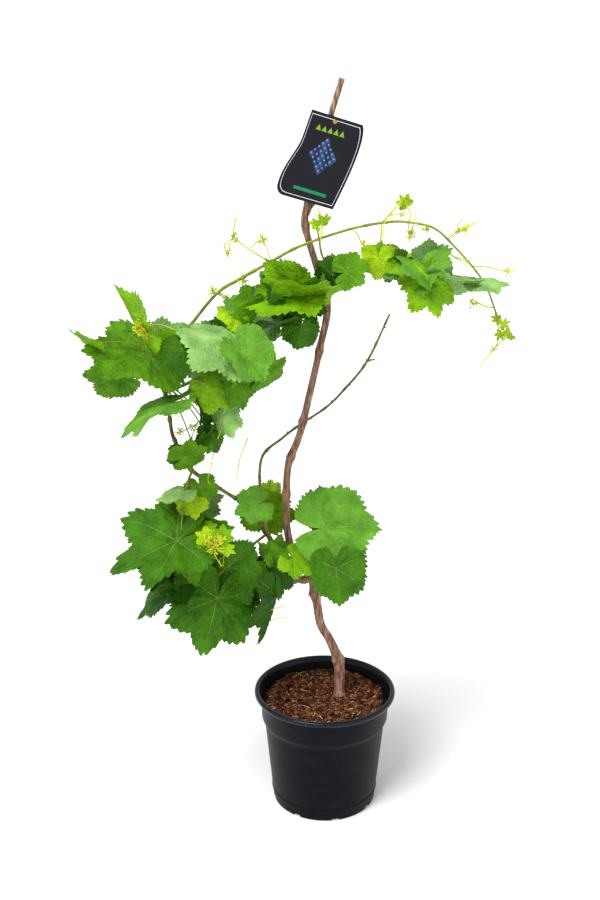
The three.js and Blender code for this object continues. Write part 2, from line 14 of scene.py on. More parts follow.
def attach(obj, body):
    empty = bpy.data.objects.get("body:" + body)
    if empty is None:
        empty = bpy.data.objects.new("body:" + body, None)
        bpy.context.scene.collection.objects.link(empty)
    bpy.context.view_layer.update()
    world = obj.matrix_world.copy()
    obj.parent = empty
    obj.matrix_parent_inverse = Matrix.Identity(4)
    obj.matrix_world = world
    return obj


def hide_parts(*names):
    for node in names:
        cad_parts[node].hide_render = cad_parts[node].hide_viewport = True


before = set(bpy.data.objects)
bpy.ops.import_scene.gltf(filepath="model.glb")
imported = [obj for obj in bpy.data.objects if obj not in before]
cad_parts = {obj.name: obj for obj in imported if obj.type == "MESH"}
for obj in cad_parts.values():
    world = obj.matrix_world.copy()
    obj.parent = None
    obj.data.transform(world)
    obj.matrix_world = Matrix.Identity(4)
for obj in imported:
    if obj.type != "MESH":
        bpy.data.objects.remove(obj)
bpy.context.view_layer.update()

MM = 0.001
TURN = 2 * math.pi

# ---- Driving dimensions ----
POT = {
    "rim": 100, "height": 171.5, "foot": 73.4, "waist": 85.3, "waist_z": 122, "collar": 91, "collar_z": 130,
    "lip": 7.5, "wall": 1.8, "floor": 2.5, "sides": 160,
}
DRAIN = {"count": 8, "width": 11, "depth": 9, "height": 5, "phase": 12}
SOIL = {"level": 155, "mound": 2.5, "bump": 1.3, "footing": 15, "reach": 88, "fibres": 3300, "chips": 520}
FOOT = {"x": 21, "y": 5}
LEAF = {
    # angle from the tip in degrees, the outline's radius there over the middle lobe's length, and how
    # far it draws in there on a deeply cut leaf
    "lobes": [
        (0, 1, 0), (22, 0.88, 0.32), (48, 0.93, 0), (76, 0.84, 0.3), (106, 0.84, 0.04), (138, 0.7, 0.16),
        (160, 0.58, 0.1), (175, 0.14, 0), (180, 0.06, 0),
    ],
    "full": 0.8,  # how full the lobes are: 1 has straight sides, and less has rounder ones
    "cup": 0.16,
    "droop": 0.2,
    "cut": 0.35,
    "ruffle": 0.05,
    "veins": (0, 48, 106, 150),  # directions of the main veins on each side
    "vein_ends": (0.95, 0.93, 0.9, 0.8),
    "vein_widths": (0.0092, 0.008, 0.008, 0.006),
    "thick": 0.3,
    "stalk": 1.0,
    "sessile": 20,  # leaves up to this size have no stalk
}
CARD = {"at": (7.5, -14, 955), "turn": -16.9, "thick": 0.8, "hole": 1.8, "ink": 0.08}
TIE = {"centre": (1.5, -3.3), "across": 9.5, "back": 9.4, "band": 1, "width": 3, "shaft": 1.4, "head": 3}

ground = SOIL["level"] + SOIL["mound"] * (1 - (math.hypot(FOOT["x"], FOOT["y"]) / SOIL["reach"]) ** 2) + 0.3

# ---- Limb paths: rows of [x, y, z, radius] ----
PATHS = {
    "trunk": [
        [FOOT["x"], FOOT["y"], ground, 9], [FOOT["x"], FOOT["y"], ground + 12, 6.7], [20, 4, 208, 6.7],
        [7, 3, 245, 6.2], [-6, 2, 270, 5.9], [-12, 2, 305, 5.9], [-20, 2, 350, 6.8], [-44, -1, 380, 5.2],
        [-53, -3, 420, 4.8], [-54, -3, 457, 4.8], [-51, -2, 508, 4.7], [-36, 0, 550, 4.6], [-22, 2, 608, 4.5],
        [-10, 3, 665, 4.4], [0, 4, 725, 4.4], [-15, 4, 778, 4.2], [-28, 4, 825, 4], [-26, 3, 852, 4.2],
        [-12, 3, 908, 3.7], [3, 2, 963, 3.5], [16, 2, 1005, 3.4],
    ],
    "trunk_stub": [[-27, 4, 840, 3.2], [-23, 2, 850, 3.3], [-16, 0, 858, 3]],
    "lower_arm": [
        [-18, 2, 342, 5], [-34, -2, 340, 4.6], [-48, -4, 347, 4.2], [-60, -8, 366, 3.8], [-68, -10, 389, 3.4],
        [-85, -10, 422, 3],
    ],
    "arm_stub": [[-38, -3, 341, 4.2], [-46, -5, 339, 4.2], [-55, -6, 339, 4]],
    "left_cane": [
        [-85, -10, 422, 2.8], [-110, -24, 460, 2.5], [-134, -36, 482, 2.4], [-174, -54, 517, 2.7],
        [-184, -57, 535, 2.3], [-198, -60, 567, 2.3], [-202, -60, 597, 2.3], [-207, -57, 625, 2.5],
    ],
    "arch": [
        [-207, -57, 625, 2.3], [-205, -47, 662, 2.1], [-177, -34, 702, 2], [-141, -20, 744, 1.9],
        [-111, -14, 762, 1.7], [-71, -12, 784, 1.6], [-35, -12, 803, 1.5], [25, -2, 822, 1.4],
        [75, 8, 830, 1.4], [106, 12, 829, 1.3], [137, 12, 821, 1.2], [163, 8, 798, 1.1],
        [187, 4, 772, 1], [203, 0, 750, 1], [215, -3, 721, 1], [221, -6, 704, 0.9],
    ],
    "bare_cane": [
        [-77, -10, 404, 2.1], [-88, 0, 440, 1.9], [-90, 6, 470, 1.8], [-86, 13, 515, 1.9],
        [-59, 20, 539, 1.7], [-36, 24, 556, 1.6], [0, 24, 581, 1.6], [24, 20, 607, 1.6],
        [53, 14, 647, 1.6], [81, 6, 712, 1.2],
    ],
    "bud_twig": [[52, 14, 646, 1.2], [57, 12, 649, 1.2], [63, 10, 651, 0.9]],
}

# ---- Foliage ----
# Of each mass: its stem and the stretch of it that is the mass's own; its leaves, each as a tint and
# leaf_frame's values; tendrils with their radii; threads too thin for the frame; clusters of buds as a
# centre, a reach and a count; the space and the rule of its seeded leaves; and how far some of those are
# moved, and how much they grow, to leave the gaps in the foliage open.
MASSES = {
    "shoot_left": {
        "stem": PATHS["arch"],
        "span": (3 / 15, 7 / 15),
        "tendrils": [
            [[-73, -12, 783, 1.1], [-100, -10, 799, 1], [-118, -8, 815, 0.9], [-116, -8, 837, 0.8]],
            [[-119, -8, 813, 0.9], [-130, -8, 804, 0.8], [-128, -8, 792, 0.7]],
            [[-141, -20, 744, 1], [-130, -16, 738, 0.9], [-115, -13, 730, 0.8]],
        ],
        "threads": [
            [[-73, -12, 787], [-77, -12, 801], [-82, -12, 810]],
            [[-98, -9, 799], [-92, -9, 806], [-84, -10, 810]],
            [[-118, -8, 814], [-123, -8, 806], [-126, -8, 793]],
            [[-112, -16, 731], [-129, -16, 740], [-146, -16, 747]],
            [[-95, -16, 748], [-104, -16, 756], [-107, -16, 762]],
        ],
        "buds": [
            (-115, -8, 808, 6, 16), (-82, -11, 810, 7, 22), (-118, -8, 817, 5, 12), (-126, -8, 794, 4, 8),
            (-146, -16, 747, 8, 20), (-107, -16, 760, 7, 16), (-130, -16, 738, 5, 10),
        ],
    },
    "shoot_middle": {
        "stem": PATHS["arch"],
        "span": (7 / 15, 9 / 15),
        "leaves": [("lime", 98, 10, 853, 14, 124, 10, 0, 0, 0.2, 1)],
        "tendrils": [
            [[66, 6, 828, 1], [72, 6, 834, 1], [79, 6, 842, 0.9], [90, 5, 855, 0.8]],
            [[68, 6, 829, 1], [67, 4, 808, 0.8]],
            [[30, -1, 823, 1], [37, -4, 817, 0.9], [42, -4, 806, 0.8]],
            [[102, 12, 829, 1], [105, 11, 840, 0.9], [98, 10, 854, 0.8]],
            [[102, 12, 829, 1], [104, 10, 813, 0.8]],
        ],
        "threads": [
            [[112, 10, 840], [110, 8, 830], [107, 8, 820], [105, 8, 811]],
            [[110, 8, 830], [118, 8, 824], [125, 8, 820]],
            [[67, -30, 814], [69, -24, 832], [77, -20, 843], [88, -14, 856]],
            [[77, -20, 843], [84, -18, 844], [92, -16, 842]],
        ],
        "buds": [(106, 8, 815, 7, 18), (125, 8, 821, 6, 14), (92, -16, 843, 4, 6), (44, -4, 806, 4, 8)],
    },
    "shoot_tip": {
        "stem": PATHS["arch"],
        "span": (9 / 15, 1),
        "leaves": [
            ("lime", 226, -6, 701, 11, 20, 0, 20, 10, 0.3, 1.3),
            ("lime", 231, -6, 691, 10, -60, 10, -30, 10, 0.3, 1.3),
            ("lime", 237, -6, 685, 9, -30, 0, 40, 10, 0.3, 1.3),
            ("lime", 224, -6, 689, 10, -120, 10, 10, 10, 0.3, 1.3),
            ("lime", 219, -6, 708, 10, 150, 10, 30, 10, 0.3, 1.3),
        ],
        "tendrils": [
            [[153, 10, 809, 1], [165, 5, 820, 0.9], [175, 5, 825, 0.8], [186, 5, 830, 0.8]],
            [[178, 6, 783, 1], [164, 4, 786, 0.9], [154, 2, 791, 0.8]],
            [[186, 4, 775, 1], [204, 2, 774, 0.9], [226, 0, 769, 0.8], [237, 0, 770, 0.8]],
            [[214, -3, 722, 1], [200, -4, 725, 0.9], [189, -5, 732, 0.8]],
            [[220, -6, 708, 1], [221, -5, 678, 0.9], [212, -5, 662, 0.8], [202, -5, 650, 0.8]],
        ],
        "threads": [
            [[157, 6, 810], [166, 4, 818], [176, 2, 824], [187, 0, 829]],
            [[166, 4, 818], [164, 4, 824], [168, 4, 832]], [[155, 6, 791], [165, 4, 784], [178, 4, 780]],
            [[200, -4, 725], [193, -5, 729], [186, -5, 725]],
            [[228, -6, 695], [231, -6, 685], [218, -6, 670]],
        ],
        "buds": [
            (176, 2, 824, 7, 20), (166, 4, 820, 5, 10), (179, 4, 780, 4, 8), (230, 0, 768, 5, 12),
            (186, -5, 729, 5, 12), (233, -6, 690, 4, 10), (222, -6, 704, 4, 10), (216, -6, 668, 4, 8),
        ],
    },
    "leaves_top": {
        "stem": [[-10, 4, 762, 1.4], [-3, -14, 778, 1.2], [-9, -19, 798, 1.1], [-14, -19, 830, 0.9]],
        "leaves": [
            ("lime", -7, -19, 834, 14, 58, 21, 40, 0, 0.2, 1),
            ("lime", -14, -19, 830, 12, 148, 25, 50, 0, 0.2, 1),
        ],
        "tendrils": [[[-10, -19, 806, 1], [-8, -19, 828, 1.2], [-11, -18, 845, 1.4]]],
        "buds": [(-11, -18, 842, 4, 8)],
    },
    "leaves_upper_left": {
        "stem": [[-207, -57, 623, 2.2], [-216, -60, 645, 2], [-222, -62, 660, 1.8], [-220, -64, 682, 1.5]],
        "leaves": [
            ("mid", -221, -66, 671, 84, 161, 12, 72, 8, 0.2),
            ("bright", -230, -104, 719, 62, 116, 3, -68, -4, 0.1),
            ("mid", -265, -36, 640, 48, 179, 12, -16, -10), ("bright", -292, -80, 692, 34, 153, 0, -65),
            ("bright", -194, -94, 694, 25, 125, 6, -29),
        ],
        "threads": [[[-182, -104, 714], [-198, -114, 724], [-212, -120, 727], [-220, -122, 726]]],
        "buds": [(-222, -124, 724, 13, 120)],
        "space": [[-232, -22, 665], [34, 30, 34]],
        "extra": {"count": 3, "size": (42, 54), "seed": 11},
        "shifts": {1: (0, 0, 12, -8), 2: (0, 0, 22, -4)},
    },
    "leaves_mid_left": {
        "stem": [[-202, -60, 596, 1.6], [-201, -72, 603, 1.5], [-201, -106, 609, 1.4]],
        "leaves": [("soft", -198, -112, 625, 67, 194, 6, 90, 5, 0.45, 0.5)],
    },
    "leaves_upper_mid": {
        "stem": [
            [-206, -57, 624, 2.2], [-180, -60, 636, 2], [-150, -58, 650, 1.8], [-120, -54, 660, 1.6],
            [-88, -46, 664, 1.2],
        ],
        "leaves": [
            ("pale", -118, -100, 701, 68, 162, 8, 70, -12),
            ("soft", -105, -116, 694, 47, -50, 12, -46, 24, 0.2, 0.2),
            ("green", -178, -112, 694, 35, -81, 10, -32, -8),
            ("bright", -151, -86, 641, 39, -39, 19, -7, -20), ("mid", -118, -70, 644, 40, -69, 5, -50, 20),
            ("mid", -83, -64, 648, 38, 32, -7, 52, 10), ("dark", -154, -64, 610, 32, -86, 14, -66, 10),
            ("pale", -134, -74, 598, 31, -66, 22, 30, -10), ("green", -167, -66, 555, 36, 45, 0, 62, 10),
            ("mid", -173, -88, 692, 27, 108, 15, -27), ("soft", -128, -60, 607, 20, -64, 13, 24),
            ("green", -146, -70, 572, 26, -107, 40, -20, -20), ("green", -148, -60, 565, 26, 51, -7, 60),
        ],
        "threads": [
            [[-192, -68, 573], [-180, -70, 579], [-167, -68, 586]],
            [[-164, -66, 591], [-176, -64, 563], [-186, -62, 546]],
            [[-135, -66, 580], [-143, -66, 557], [-154, -66, 512]],
        ],
        "buds": [(-188, -70, 576, 6, 14), (-172, -69, 582, 6, 14)],
        "space": [[-140, 0, 672], [48, 38, 34]],
        "extra": {"count": 4, "size": (36, 50), "seed": 28},
        "shifts": {1: (20, 10, -22, -4)},
    },
    "leaves_upper_centre": {
        "stem": [[-1, 4, 731, 2], [-30, -12, 737, 1.9], [-70, -20, 728, 1.7], [-116, -24, 716, 1.3]],
        "leaves": [
            ("bright", -39, -60, 756, 54, 138, 13, -30, 14), ("bright", -39, -72, 755, 58, 1, 5, 60, 8),
            ("dark", -40, -50, 751, 47, 149, 6, 65), ("bright", -40, -56, 749, 70, 186, 5, 84, 0),
            ("bright", -42, -44, 740, 36, -135, 4, -45, -15), ("dark", -28, -40, 741, 34, -73, 9, 40),
            ("green", -33, -34, 706, 31, -101, 25, -7, -15, 0.2, 0.1),
            ("dark", -52, -32, 709, 50, -166, 7, -74, 0), ("dark", -118, 10, 696, 35, 165, 15, 38),
            ("mid", -95, -62, 745, 26, -126, 22, -24), ("bright", -111, -38, 701, 27, -144, 8, -38),
            ("soft", -111, -34, 729, 22, 151, -3, 50), ("lime", -116, -44, 718, 28, 142, -6, 62),
            ("lime", -105, -50, 727, 20, 0, 0, 26), ("mid", -106, -36, 715, 21, -73, 18, 50),
        ],
        "space": [[-72, 14, 735], [40, 28, 22]],
        "extra": {"count": 3, "size": (36, 48), "seed": 31},
        "shifts": {1: (34, 0, -4, -4)},
    },
    "leaves_upper_right": {
        "stem": [
            [-7, 4, 755, 2], [16, -10, 772, 1.9], [66, -18, 779, 1.7], [126, -26, 771, 1.5],
            [154, -24, 768, 1.2], [186, -20, 764, 1],
        ],
        "leaves": [
            ("mid", 22, -44, 776, 30, 20, 12, -25, 10), ("lime", 61, -50, 795, 30, -90, -10, 8, -19),
            ("soft", 119, -40, 775, 46, 50, 0, -76, 0), ("soft", 119, -44, 776, 43, 143, 0, 76, 0),
            ("bright", 124, -58, 771, 50, -74, 22, -10, -34, 0.2, 0.6),
            ("pale", 144, -40, 767, 46, -11, 15, 62, 12), ("pale", 190, -32, 761, 38, 3, 12, -84),
            ("dark", 5, -40, 772, 25, 139, 12, 6, -30), ("soft", 8, -26, 768, 28, 92, -5, 45),
            ("dark", 12, -34, 770, 20, -66, 14, 30), ("bright", 62, -40, 786, 27, 81, 0, 12, -13),
            ("green", 92, -36, 787, 26, -133, 11, -38), ("bright", 89, -40, 788, 26, -22, 10, -50),
            ("pale", 136, -46, 769, 24, 36, 0, 15),
        ],
        "space": [[100, 10, 770], [60, 26, 16]],
        "extra": {"count": 3, "size": (30, 40), "seed": 44},
        "shifts": {1: (0, 4, 24, -8), 2: (0, 4, 16, -8)},
    },
    "leaves_hanging_left": {
        "stem": [
            [-175, -54, 519, 1.8], [-182, -62, 500, 1.6], [-188, -70, 465, 1.4], [-189, -84, 434, 1.2],
        ],
        "leaves": [
            ("green", -194, -90, 435, 94, 197, 14, 60, 15, 0.2, 0.9),
            ("bright", -184, -74, 432, 44, 24, 0, -10, -35), ("mid", -184, -70, 428, 64, -80, 10, -9, -40),
            ("mid", -181, -100, 551, 33, 22, 0, 36), ("mid", -154, -50, 445, 34, -17, 13, 45, 10),
            ("mid", -165, -62, 500, 27, -67, 13, 0), ("pale", -188, -66, 494, 36, -172, 10, 90),
            ("green", -185, -84, 551, 22, -108, 15, -30, -15), ("lime", -177, -64, 484, 28, -76, 23, 0),
        ],
        "space": [[-206, -30, 440], [38, 26, 36]],
        "extra": {"count": 3, "size": (38, 52), "seed": 57},
    },
    "leaves_lower_left": {
        "stem": [[-80, -10, 412, 2], [-104, -26, 398, 1.8], [-128, -38, 380, 1.7], [-158, -50, 356, 1.4]],
        "leaves": [
            ("green", -145, -72, 345, 78, -106, 28, -4, -12, 0.25, 0.5),
            ("green", -130, -44, 378, 56, -62, 30, 12), ("dark", -209, -16, 373, 51, -124, 22, -18),
            ("dark", -206, -50, 353, 60, -165, 8, 88, 0, 0.62, 0.2),
            ("lime", -152, -114, 448, 18, 150, 10, 10, 0, 0.2, 0.8),
            ("bright", -134, -114, 450, 17, 40, 10, -10, 0, 0.2, 0.8),
            ("lime", -132, -112, 434, 16, -30, 10, 20, 0, 0.2, 0.8),
            ("bright", -154, -112, 432, 15, 200, 10, -20, 0, 0.2, 0.8),
        ],
        "threads": [[[-136, -60, 400], [-136, -100, 404], [-144, -120, 428]]],
        "buds": [
            (-144, -122, 438, 12, 46), (-151, -122, 450, 8, 24), (-136, -122, 449, 8, 20),
            (-151, -120, 428, 8, 18),
        ],
        "space": [[-150, 6, 355], [40, 36, 36]],
        "extra": {"count": 4, "size": (42, 56), "seed": 62},
        "shifts": {0: (-12, 0, -26, -6), 1: (-8, 0, -6, 0)},
    },
    "leaves_lower_centre": {
        "stem": [[-72, -10, 396, 1.8], [-74, -24, 404, 1.7], [-80, -32, 430, 1.5], [-90, -30, 466, 1.2]],
        "leaves": [
            ("bright", -81, -38, 365, 33, -91, 28, -43), ("dark", -69, -40, 377, 44, -81, 30, -6, -45),
            ("dark", -67, -44, 333, 70, -104, 26, -74, -16, 0.2, 0.8),
            ("bright", -44, -50, 393, 31, -34, 17, -48), ("mid", -67, -40, 392, 30, 75, -15, 45, 10),
            ("soft", -91, -40, 466, 33, -167, 22, 38, 15), ("bright", -87, 26, 436, 52, -11, 12, -11, 40),
            ("lime", -76, 16, 450, 30, 89, 0, 0, -50), ("mid", -70, -46, 395, 28, 141, 0, -35),
        ],
        "threads": [
            [[-78, -56, 319], [-66, -62, 326], [-55, -66, 331]],
            [[-81, -56, 301], [-67, -62, 310], [-54, -66, 314]],
            [[-102, -50, 562], [-113, -54, 535], [-117, -54, 508]],
        ],
    },
    "leaves_lower_right": {
        "stem": [[-16, 2, 346, 2.2], [2, -16, 362, 2], [10, -34, 384, 1.6], [2, -44, 424, 1.3]],
        "leaves": [
            ("soft", -1, -26, 426, 72, 8, 5, -50, 22, 0.3, 0.1),
            ("green", 11, -110, 405, 50, -86, 18, 8, -25, 0.25, 0.1),
        ],
        "space": [[18, 6, 408], [34, 30, 36]],
        "extra": {"count": 4, "size": (36, 50), "seed": 87},
        "shifts": {0: (-14, 0, 0, -2), 3: (-12, 0, 6, -2)},
    },
}
# seeded leaves take mostly the darker tints: painted shade on leaves at the back of a mass
REAR_TINTS = ("dark", "green", "mid", "dark")  # the tints that seeded leaves take by chance


# ---- Small helpers ----
def srgb(red, green, blue):
    """A linear colour from 0 to 255 values."""
    parts = [v / 255 for v in (red, green, blue)]
    linear = [v / 12.92 if v <= 0.04045 else ((v + 0.055) / 1.055) ** 2.4 for v in parts]
    return (*linear, 1)


def shade(colour, factor):
    return (*(min(v * factor, 1) for v in colour[:3]), 1)


def blend(one, other, share):
    return (*(a + (b - a) * share for a, b in zip(one[:3], other[:3])), 1)


def random(seed):
    """The same generator as the frame's: each call gives the next number from 0 to 1."""
    state = seed

    def draw():
        nonlocal state
        state = (state * 1664525 + 1013904223) % 4294967296
        return state / 4294967296

    return draw


def on_path(path, at):
    """Rows of x, y, z and radius on the smooth path, at each share of it from 0 to 1."""
    rows = np.array(path, float)
    last = len(rows) - 1
    rows = np.vstack([2 * rows[0] - rows[1], rows, 2 * rows[-1] - rows[-2]])
    place = np.clip(np.asarray(at, float), 0, 1) * last
    i = np.minimum(place.astype(int), last - 1)
    u = (place - i)[..., None]
    a, b, c, d = rows[i], rows[i + 1], rows[i + 2], rows[i + 3]
    return 0.5 * (2 * b + (c - a) * u + (2 * a - 5 * b + 4 * c - d) * u**2 + (3 * b - a - 3 * c + d) * u**3)


def unit(v):
    return v / max(np.linalg.norm(v), 1e-9)


def turned(v, axis, angle):
    """v turned about a unit axis."""
    along = axis * np.dot(axis, v) * (1 - math.cos(angle))
    return v * math.cos(angle) + np.cross(axis, v) * math.sin(angle) + along


def round_angles(count):
    return np.arange(count) * TURN / count


def grid_faces(rows, columns):
    """Quads between rows of places, the last column joined to the first."""
    i, j = np.meshgrid(np.arange(rows - 1), np.arange(columns), indexing="ij")
    i, j = i.ravel(), j.ravel()
    k = (j + 1) % columns
    return np.stack([i * columns + j, i * columns + k, (i + 1) * columns + k, (i + 1) * columns + j], 1)


def fan_faces(middle, first, count, flip=False):
    """Triangles from a middle place to a ring of places that starts at first."""
    j = first + np.arange(count)
    k = first + (np.arange(count) + 1) % count
    return np.stack([np.full(count, middle), k, j] if flip else [np.full(count, middle), j, k], 1)


CUBE = np.array([[a, b, c] for a in (-1, 1) for b in (-1, 1) for c in (-1, 1)], float)
CUBE_FACES = np.array([[0, 1, 3, 2], [4, 6, 7, 5], [0, 4, 5, 1], [2, 3, 7, 6], [0, 2, 6, 4], [1, 5, 7, 3]])


class Shape:
    """Places in millimetres and faces with their materials, joined up into one mesh."""

    def __init__(self):
        self.places, self.faces, self.kinds, self.count = [], [], [], 0

    def add(self, places, faces, *kinds):
        """places is n by 3, faces is a list of arrays of place numbers, and kinds are their materials."""
        self.places.append(np.asarray(places, float))
        for n, block in enumerate(faces):
            self.faces.append(np.asarray(block, int) + self.count)
            self.kinds.append(np.full(len(block), kinds[min(n, len(kinds) - 1)]))
        self.count += len(places)

    def mesh(self, name, materials, smooth=True):
        mesh = bpy.data.meshes.new(name)
        places = np.concatenate(self.places) * MM
        corners = np.concatenate([block.ravel() for block in self.faces])
        sizes = np.concatenate([np.full(len(block), block.shape[1]) for block in self.faces])
        mesh.vertices.add(len(places))
        mesh.vertices.foreach_set("co", places.ravel())
        mesh.loops.add(len(corners))
        mesh.loops.foreach_set("vertex_index", corners)
        mesh.polygons.add(len(sizes))
        mesh.polygons.foreach_set("loop_start", np.concatenate([[0], np.cumsum(sizes)[:-1]]))
        mesh.polygons.foreach_set("loop_total", sizes)
        mesh.polygons.foreach_set("material_index", np.concatenate(self.kinds))
        mesh.polygons.foreach_set("use_smooth", np.full(len(sizes), smooth))
        for material in materials:
            mesh.materials.append(material)
        mesh.update(calc_edges=True)
        mesh.validate()
        return mesh


def place(name, mesh, node, slot):
    """Puts a mesh in the scene in place of a CAD node."""
    obj = bpy.data.objects.new(name, mesh)
    bpy.context.collection.objects.link(obj)
    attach(obj, "root")
    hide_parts(node)
    return obj


def evaluated_mesh(obj):
    """The object's mesh with its modifiers or its curve's bevel applied."""
    bpy.context.view_layer.update()
    return bpy.data.meshes.new_from_object(obj.evaluated_get(bpy.context.evaluated_depsgraph_get()))


def tube(shape, path, sides, rings, kind=0, tip=None, span=(0, 1), relief=None):
    """A tapering tube along a path. relief gives the radius's factor from the length and the angle."""
    at = np.linspace(*span, rings + 1)
    rows = on_path(path, at)
    ahead = on_path(path, np.minimum(at + 0.002, 1)) - on_path(path, np.maximum(at - 0.002, 0))
    run = np.concatenate([[0], np.cumsum(np.linalg.norm(np.diff(rows[:, :3], axis=0), axis=1))])
    angles = round_angles(sides)
    factor = relief(run[:, None], angles[None, :]) if relief else np.ones((rings + 1, sides))
    across = np.array([1.0, 0, 0])
    places = np.zeros((rings + 1, sides, 3))
    for k in range(rings + 1):
        along = unit(ahead[k, :3])
        if abs(np.dot(across, along)) > 0.95:
            across = np.array([0.0, 1, 0])
        across = unit(across - along * np.dot(across, along))
        spokes = np.cos(angles)[:, None] * across + np.sin(angles)[:, None] * np.cross(along, across)
        places[k] = rows[k, :3] + spokes * (rows[k, 3] * factor[k][:, None])
    shape.add(places.reshape(-1, 3), [grid_faces(rings + 1, sides)], kind)
    for ring, crown in ((0, 0), (rings, 0.25)):
        middle = rows[ring, :3] + unit(ahead[ring, :3]) * rows[ring, 3] * crown
        cap = fan_faces(sides, 0, sides, flip=ring == 0)
        shape.add(np.vstack([places[ring], middle]), [cap], kind if tip is None else tip)


# ---- Materials ----
def fill_ramp(band, stops):
    """Gives a colour ramp its stops of (place, colour)."""
    while len(band.elements) < len(stops):
        band.elements.new(0.5)
    for element, (where, colour) in zip(band.elements, stops):
        element.position, element.color = where, colour


class Skin:
    """A node material, with its tree and its shader."""

    def __init__(self, name):
        self.material = bpy.data.materials.new(name)
        self.material.use_nodes = True
        self.tree = self.material.node_tree
        self.shader = self.tree.nodes["Principled BSDF"]

    def add(self, kind, **values):
        """A new node, with values for its settings and its sockets."""
        node = self.tree.nodes.new(kind)
        for key, value in values.items():
            if hasattr(node, key):
                setattr(node, key, value)
            else:
                node.inputs[key].default_value = value
        return node

    def link(self, output, socket):
        self.tree.links.new(output, socket)

    def noise(self, scale, detail=4, stretch=(1, 1, 1), rough=0.55):
        """A noise pattern in object space. scale is in bumps a metre."""
        where = self.add("ShaderNodeTexCoord")
        mapping = self.add("ShaderNodeMapping", Scale=stretch)
        pattern = self.add("ShaderNodeTexNoise", Scale=scale, Detail=detail, Roughness=rough)
        self.link(where.outputs["Object"], mapping.inputs["Vector"])
        self.link(mapping.outputs["Vector"], pattern.inputs["Vector"])
        return pattern.outputs["Fac"]

    def colour(self, factor, stops):
        """Base colours along a factor."""
        node = self.add("ShaderNodeValToRGB")
        fill_ramp(node.color_ramp, stops)
        self.link(factor, node.inputs["Fac"])
        self.link(node.outputs["Color"], self.shader.inputs["Base Color"])

    def bump(self, height, strength, distance):
        node = self.add("ShaderNodeBump", Strength=strength, Distance=distance)
        self.link(height, node.inputs["Height"])
        self.link(node.outputs["Normal"], self.shader.inputs["Normal"])

    def finish(self, **values):
        """Sets constants on the shader's own sockets, and gives the material."""
        for key, value in values.items():
            self.shader.inputs[key.replace("_", " ")].default_value = value
        return self.material


def leaf_material(name, colour, roughness=0.55, sheen=0.0, quilt=1.0):
    """A blade: random patches of lighter and darker green, and small cushions between its finest veins, with
    painted highlight on the cushions' tops and painted shade in the grooves between them.
    """
    skin = Skin(name)
    where = skin.add("ShaderNodeTexCoord")
    cells = skin.add("ShaderNodeTexVoronoi", Scale=380)
    skin.link(where.outputs["Object"], cells.inputs["Vector"])
    lifted = skin.add("ShaderNodeMath", operation="ADD")
    lifted.inputs[1].default_value = 0.08 * quilt
    skin.link(skin.noise(45, 5), lifted.inputs[0])
    mixed = skin.add("ShaderNodeMath", operation="MULTIPLY_ADD")
    mixed.inputs[1].default_value = -0.2 * quilt
    skin.link(cells.outputs["Distance"], mixed.inputs[0])
    skin.link(lifted.outputs["Value"], mixed.inputs[2])
    height = mixed.outputs["Value"]
    # painted light: the colour follows the cushions' height, so their tops are painted lighter and the
    # grooves between them darker, over the random patches
    skin.colour(height, [(0.3, shade(colour, 0.68)), (0.48, colour), (0.7, shade(colour, 1.3))])
    skin.bump(height, 0.8 * quilt, 0.006)
    return skin.finish(Roughness=roughness, Specular_IOR_Level=0.14, Sheen_Weight=sheen, Sheen_Roughness=0.5)


def bark_material(name, tones, scale=300, depth=0.0012):
    """Wood or cane. tones run from the cracks to the crests, as 0 to 255 values: partly the bark's own
    colour, and partly painted shade in the cracks and a painted highlight on the crests.
    """
    skin = Skin(name)
    grain_and_shade = skin.noise(scale, 8, (1, 1, 0.16), 0.65)
    # painted light: the colour follows the relief, darker in the cracks as painted shade and lighter on the
    # crests as painted highlight, over the bark's own tone
    skin.colour(grain_and_shade, [(0.3 + 0.4 * k / (len(tones) - 1), srgb(*tone)) for k, tone in enumerate(tones)])
    skin.bump(grain_and_shade, 0.6, depth)
    return skin.finish(Roughness=0.85)


def plain_material(name, tone, roughness, scale=300, vary=0.12, depth=0.0002, shine=0.15):
    """One colour, given as 0 to 255 values, with a slight mottle and a fine surface."""
    skin = Skin(name)
    mottle = skin.noise(scale)
    skin.colour(mottle, [(0.3, shade(srgb(*tone), 1 - vary)), (0.7, shade(srgb(*tone), 1 + vary))])
    skin.bump(mottle, 0.3, depth)
    return skin.finish(Roughness=roughness, Specular_IOR_Level=shine)


def pot_material(name, shine, roughness):
    """Black plastic: fine turned lines round it, a soft gloss and a trace of dust."""
    skin = Skin(name)
    dust = skin.noise(24, 6, (1, 1, 2.5))
    skin.colour(dust, [(0.35, srgb(10, 10, 12)), (0.62, srgb(16, 16, 18)), (0.8, srgb(30, 28, 27))])
    skin.bump(skin.noise(700, 3, (0.02, 0.02, 1)), 0.45, 0.0005)
    tint = srgb(214, 228, 255)
    return skin.finish(Roughness=roughness, Specular_IOR_Level=shine, Specular_Tint=tint)


def brass_material():
    skin = Skin("stud_brass")
    worn = skin.noise(900)
    skin.colour(worn, [(0.3, srgb(158, 118, 44)), (0.7, srgb(196, 158, 78))])
    skin.bump(worn, 0.2, 0.0001)
    return skin.finish(Metallic=1, Roughness=0.32)


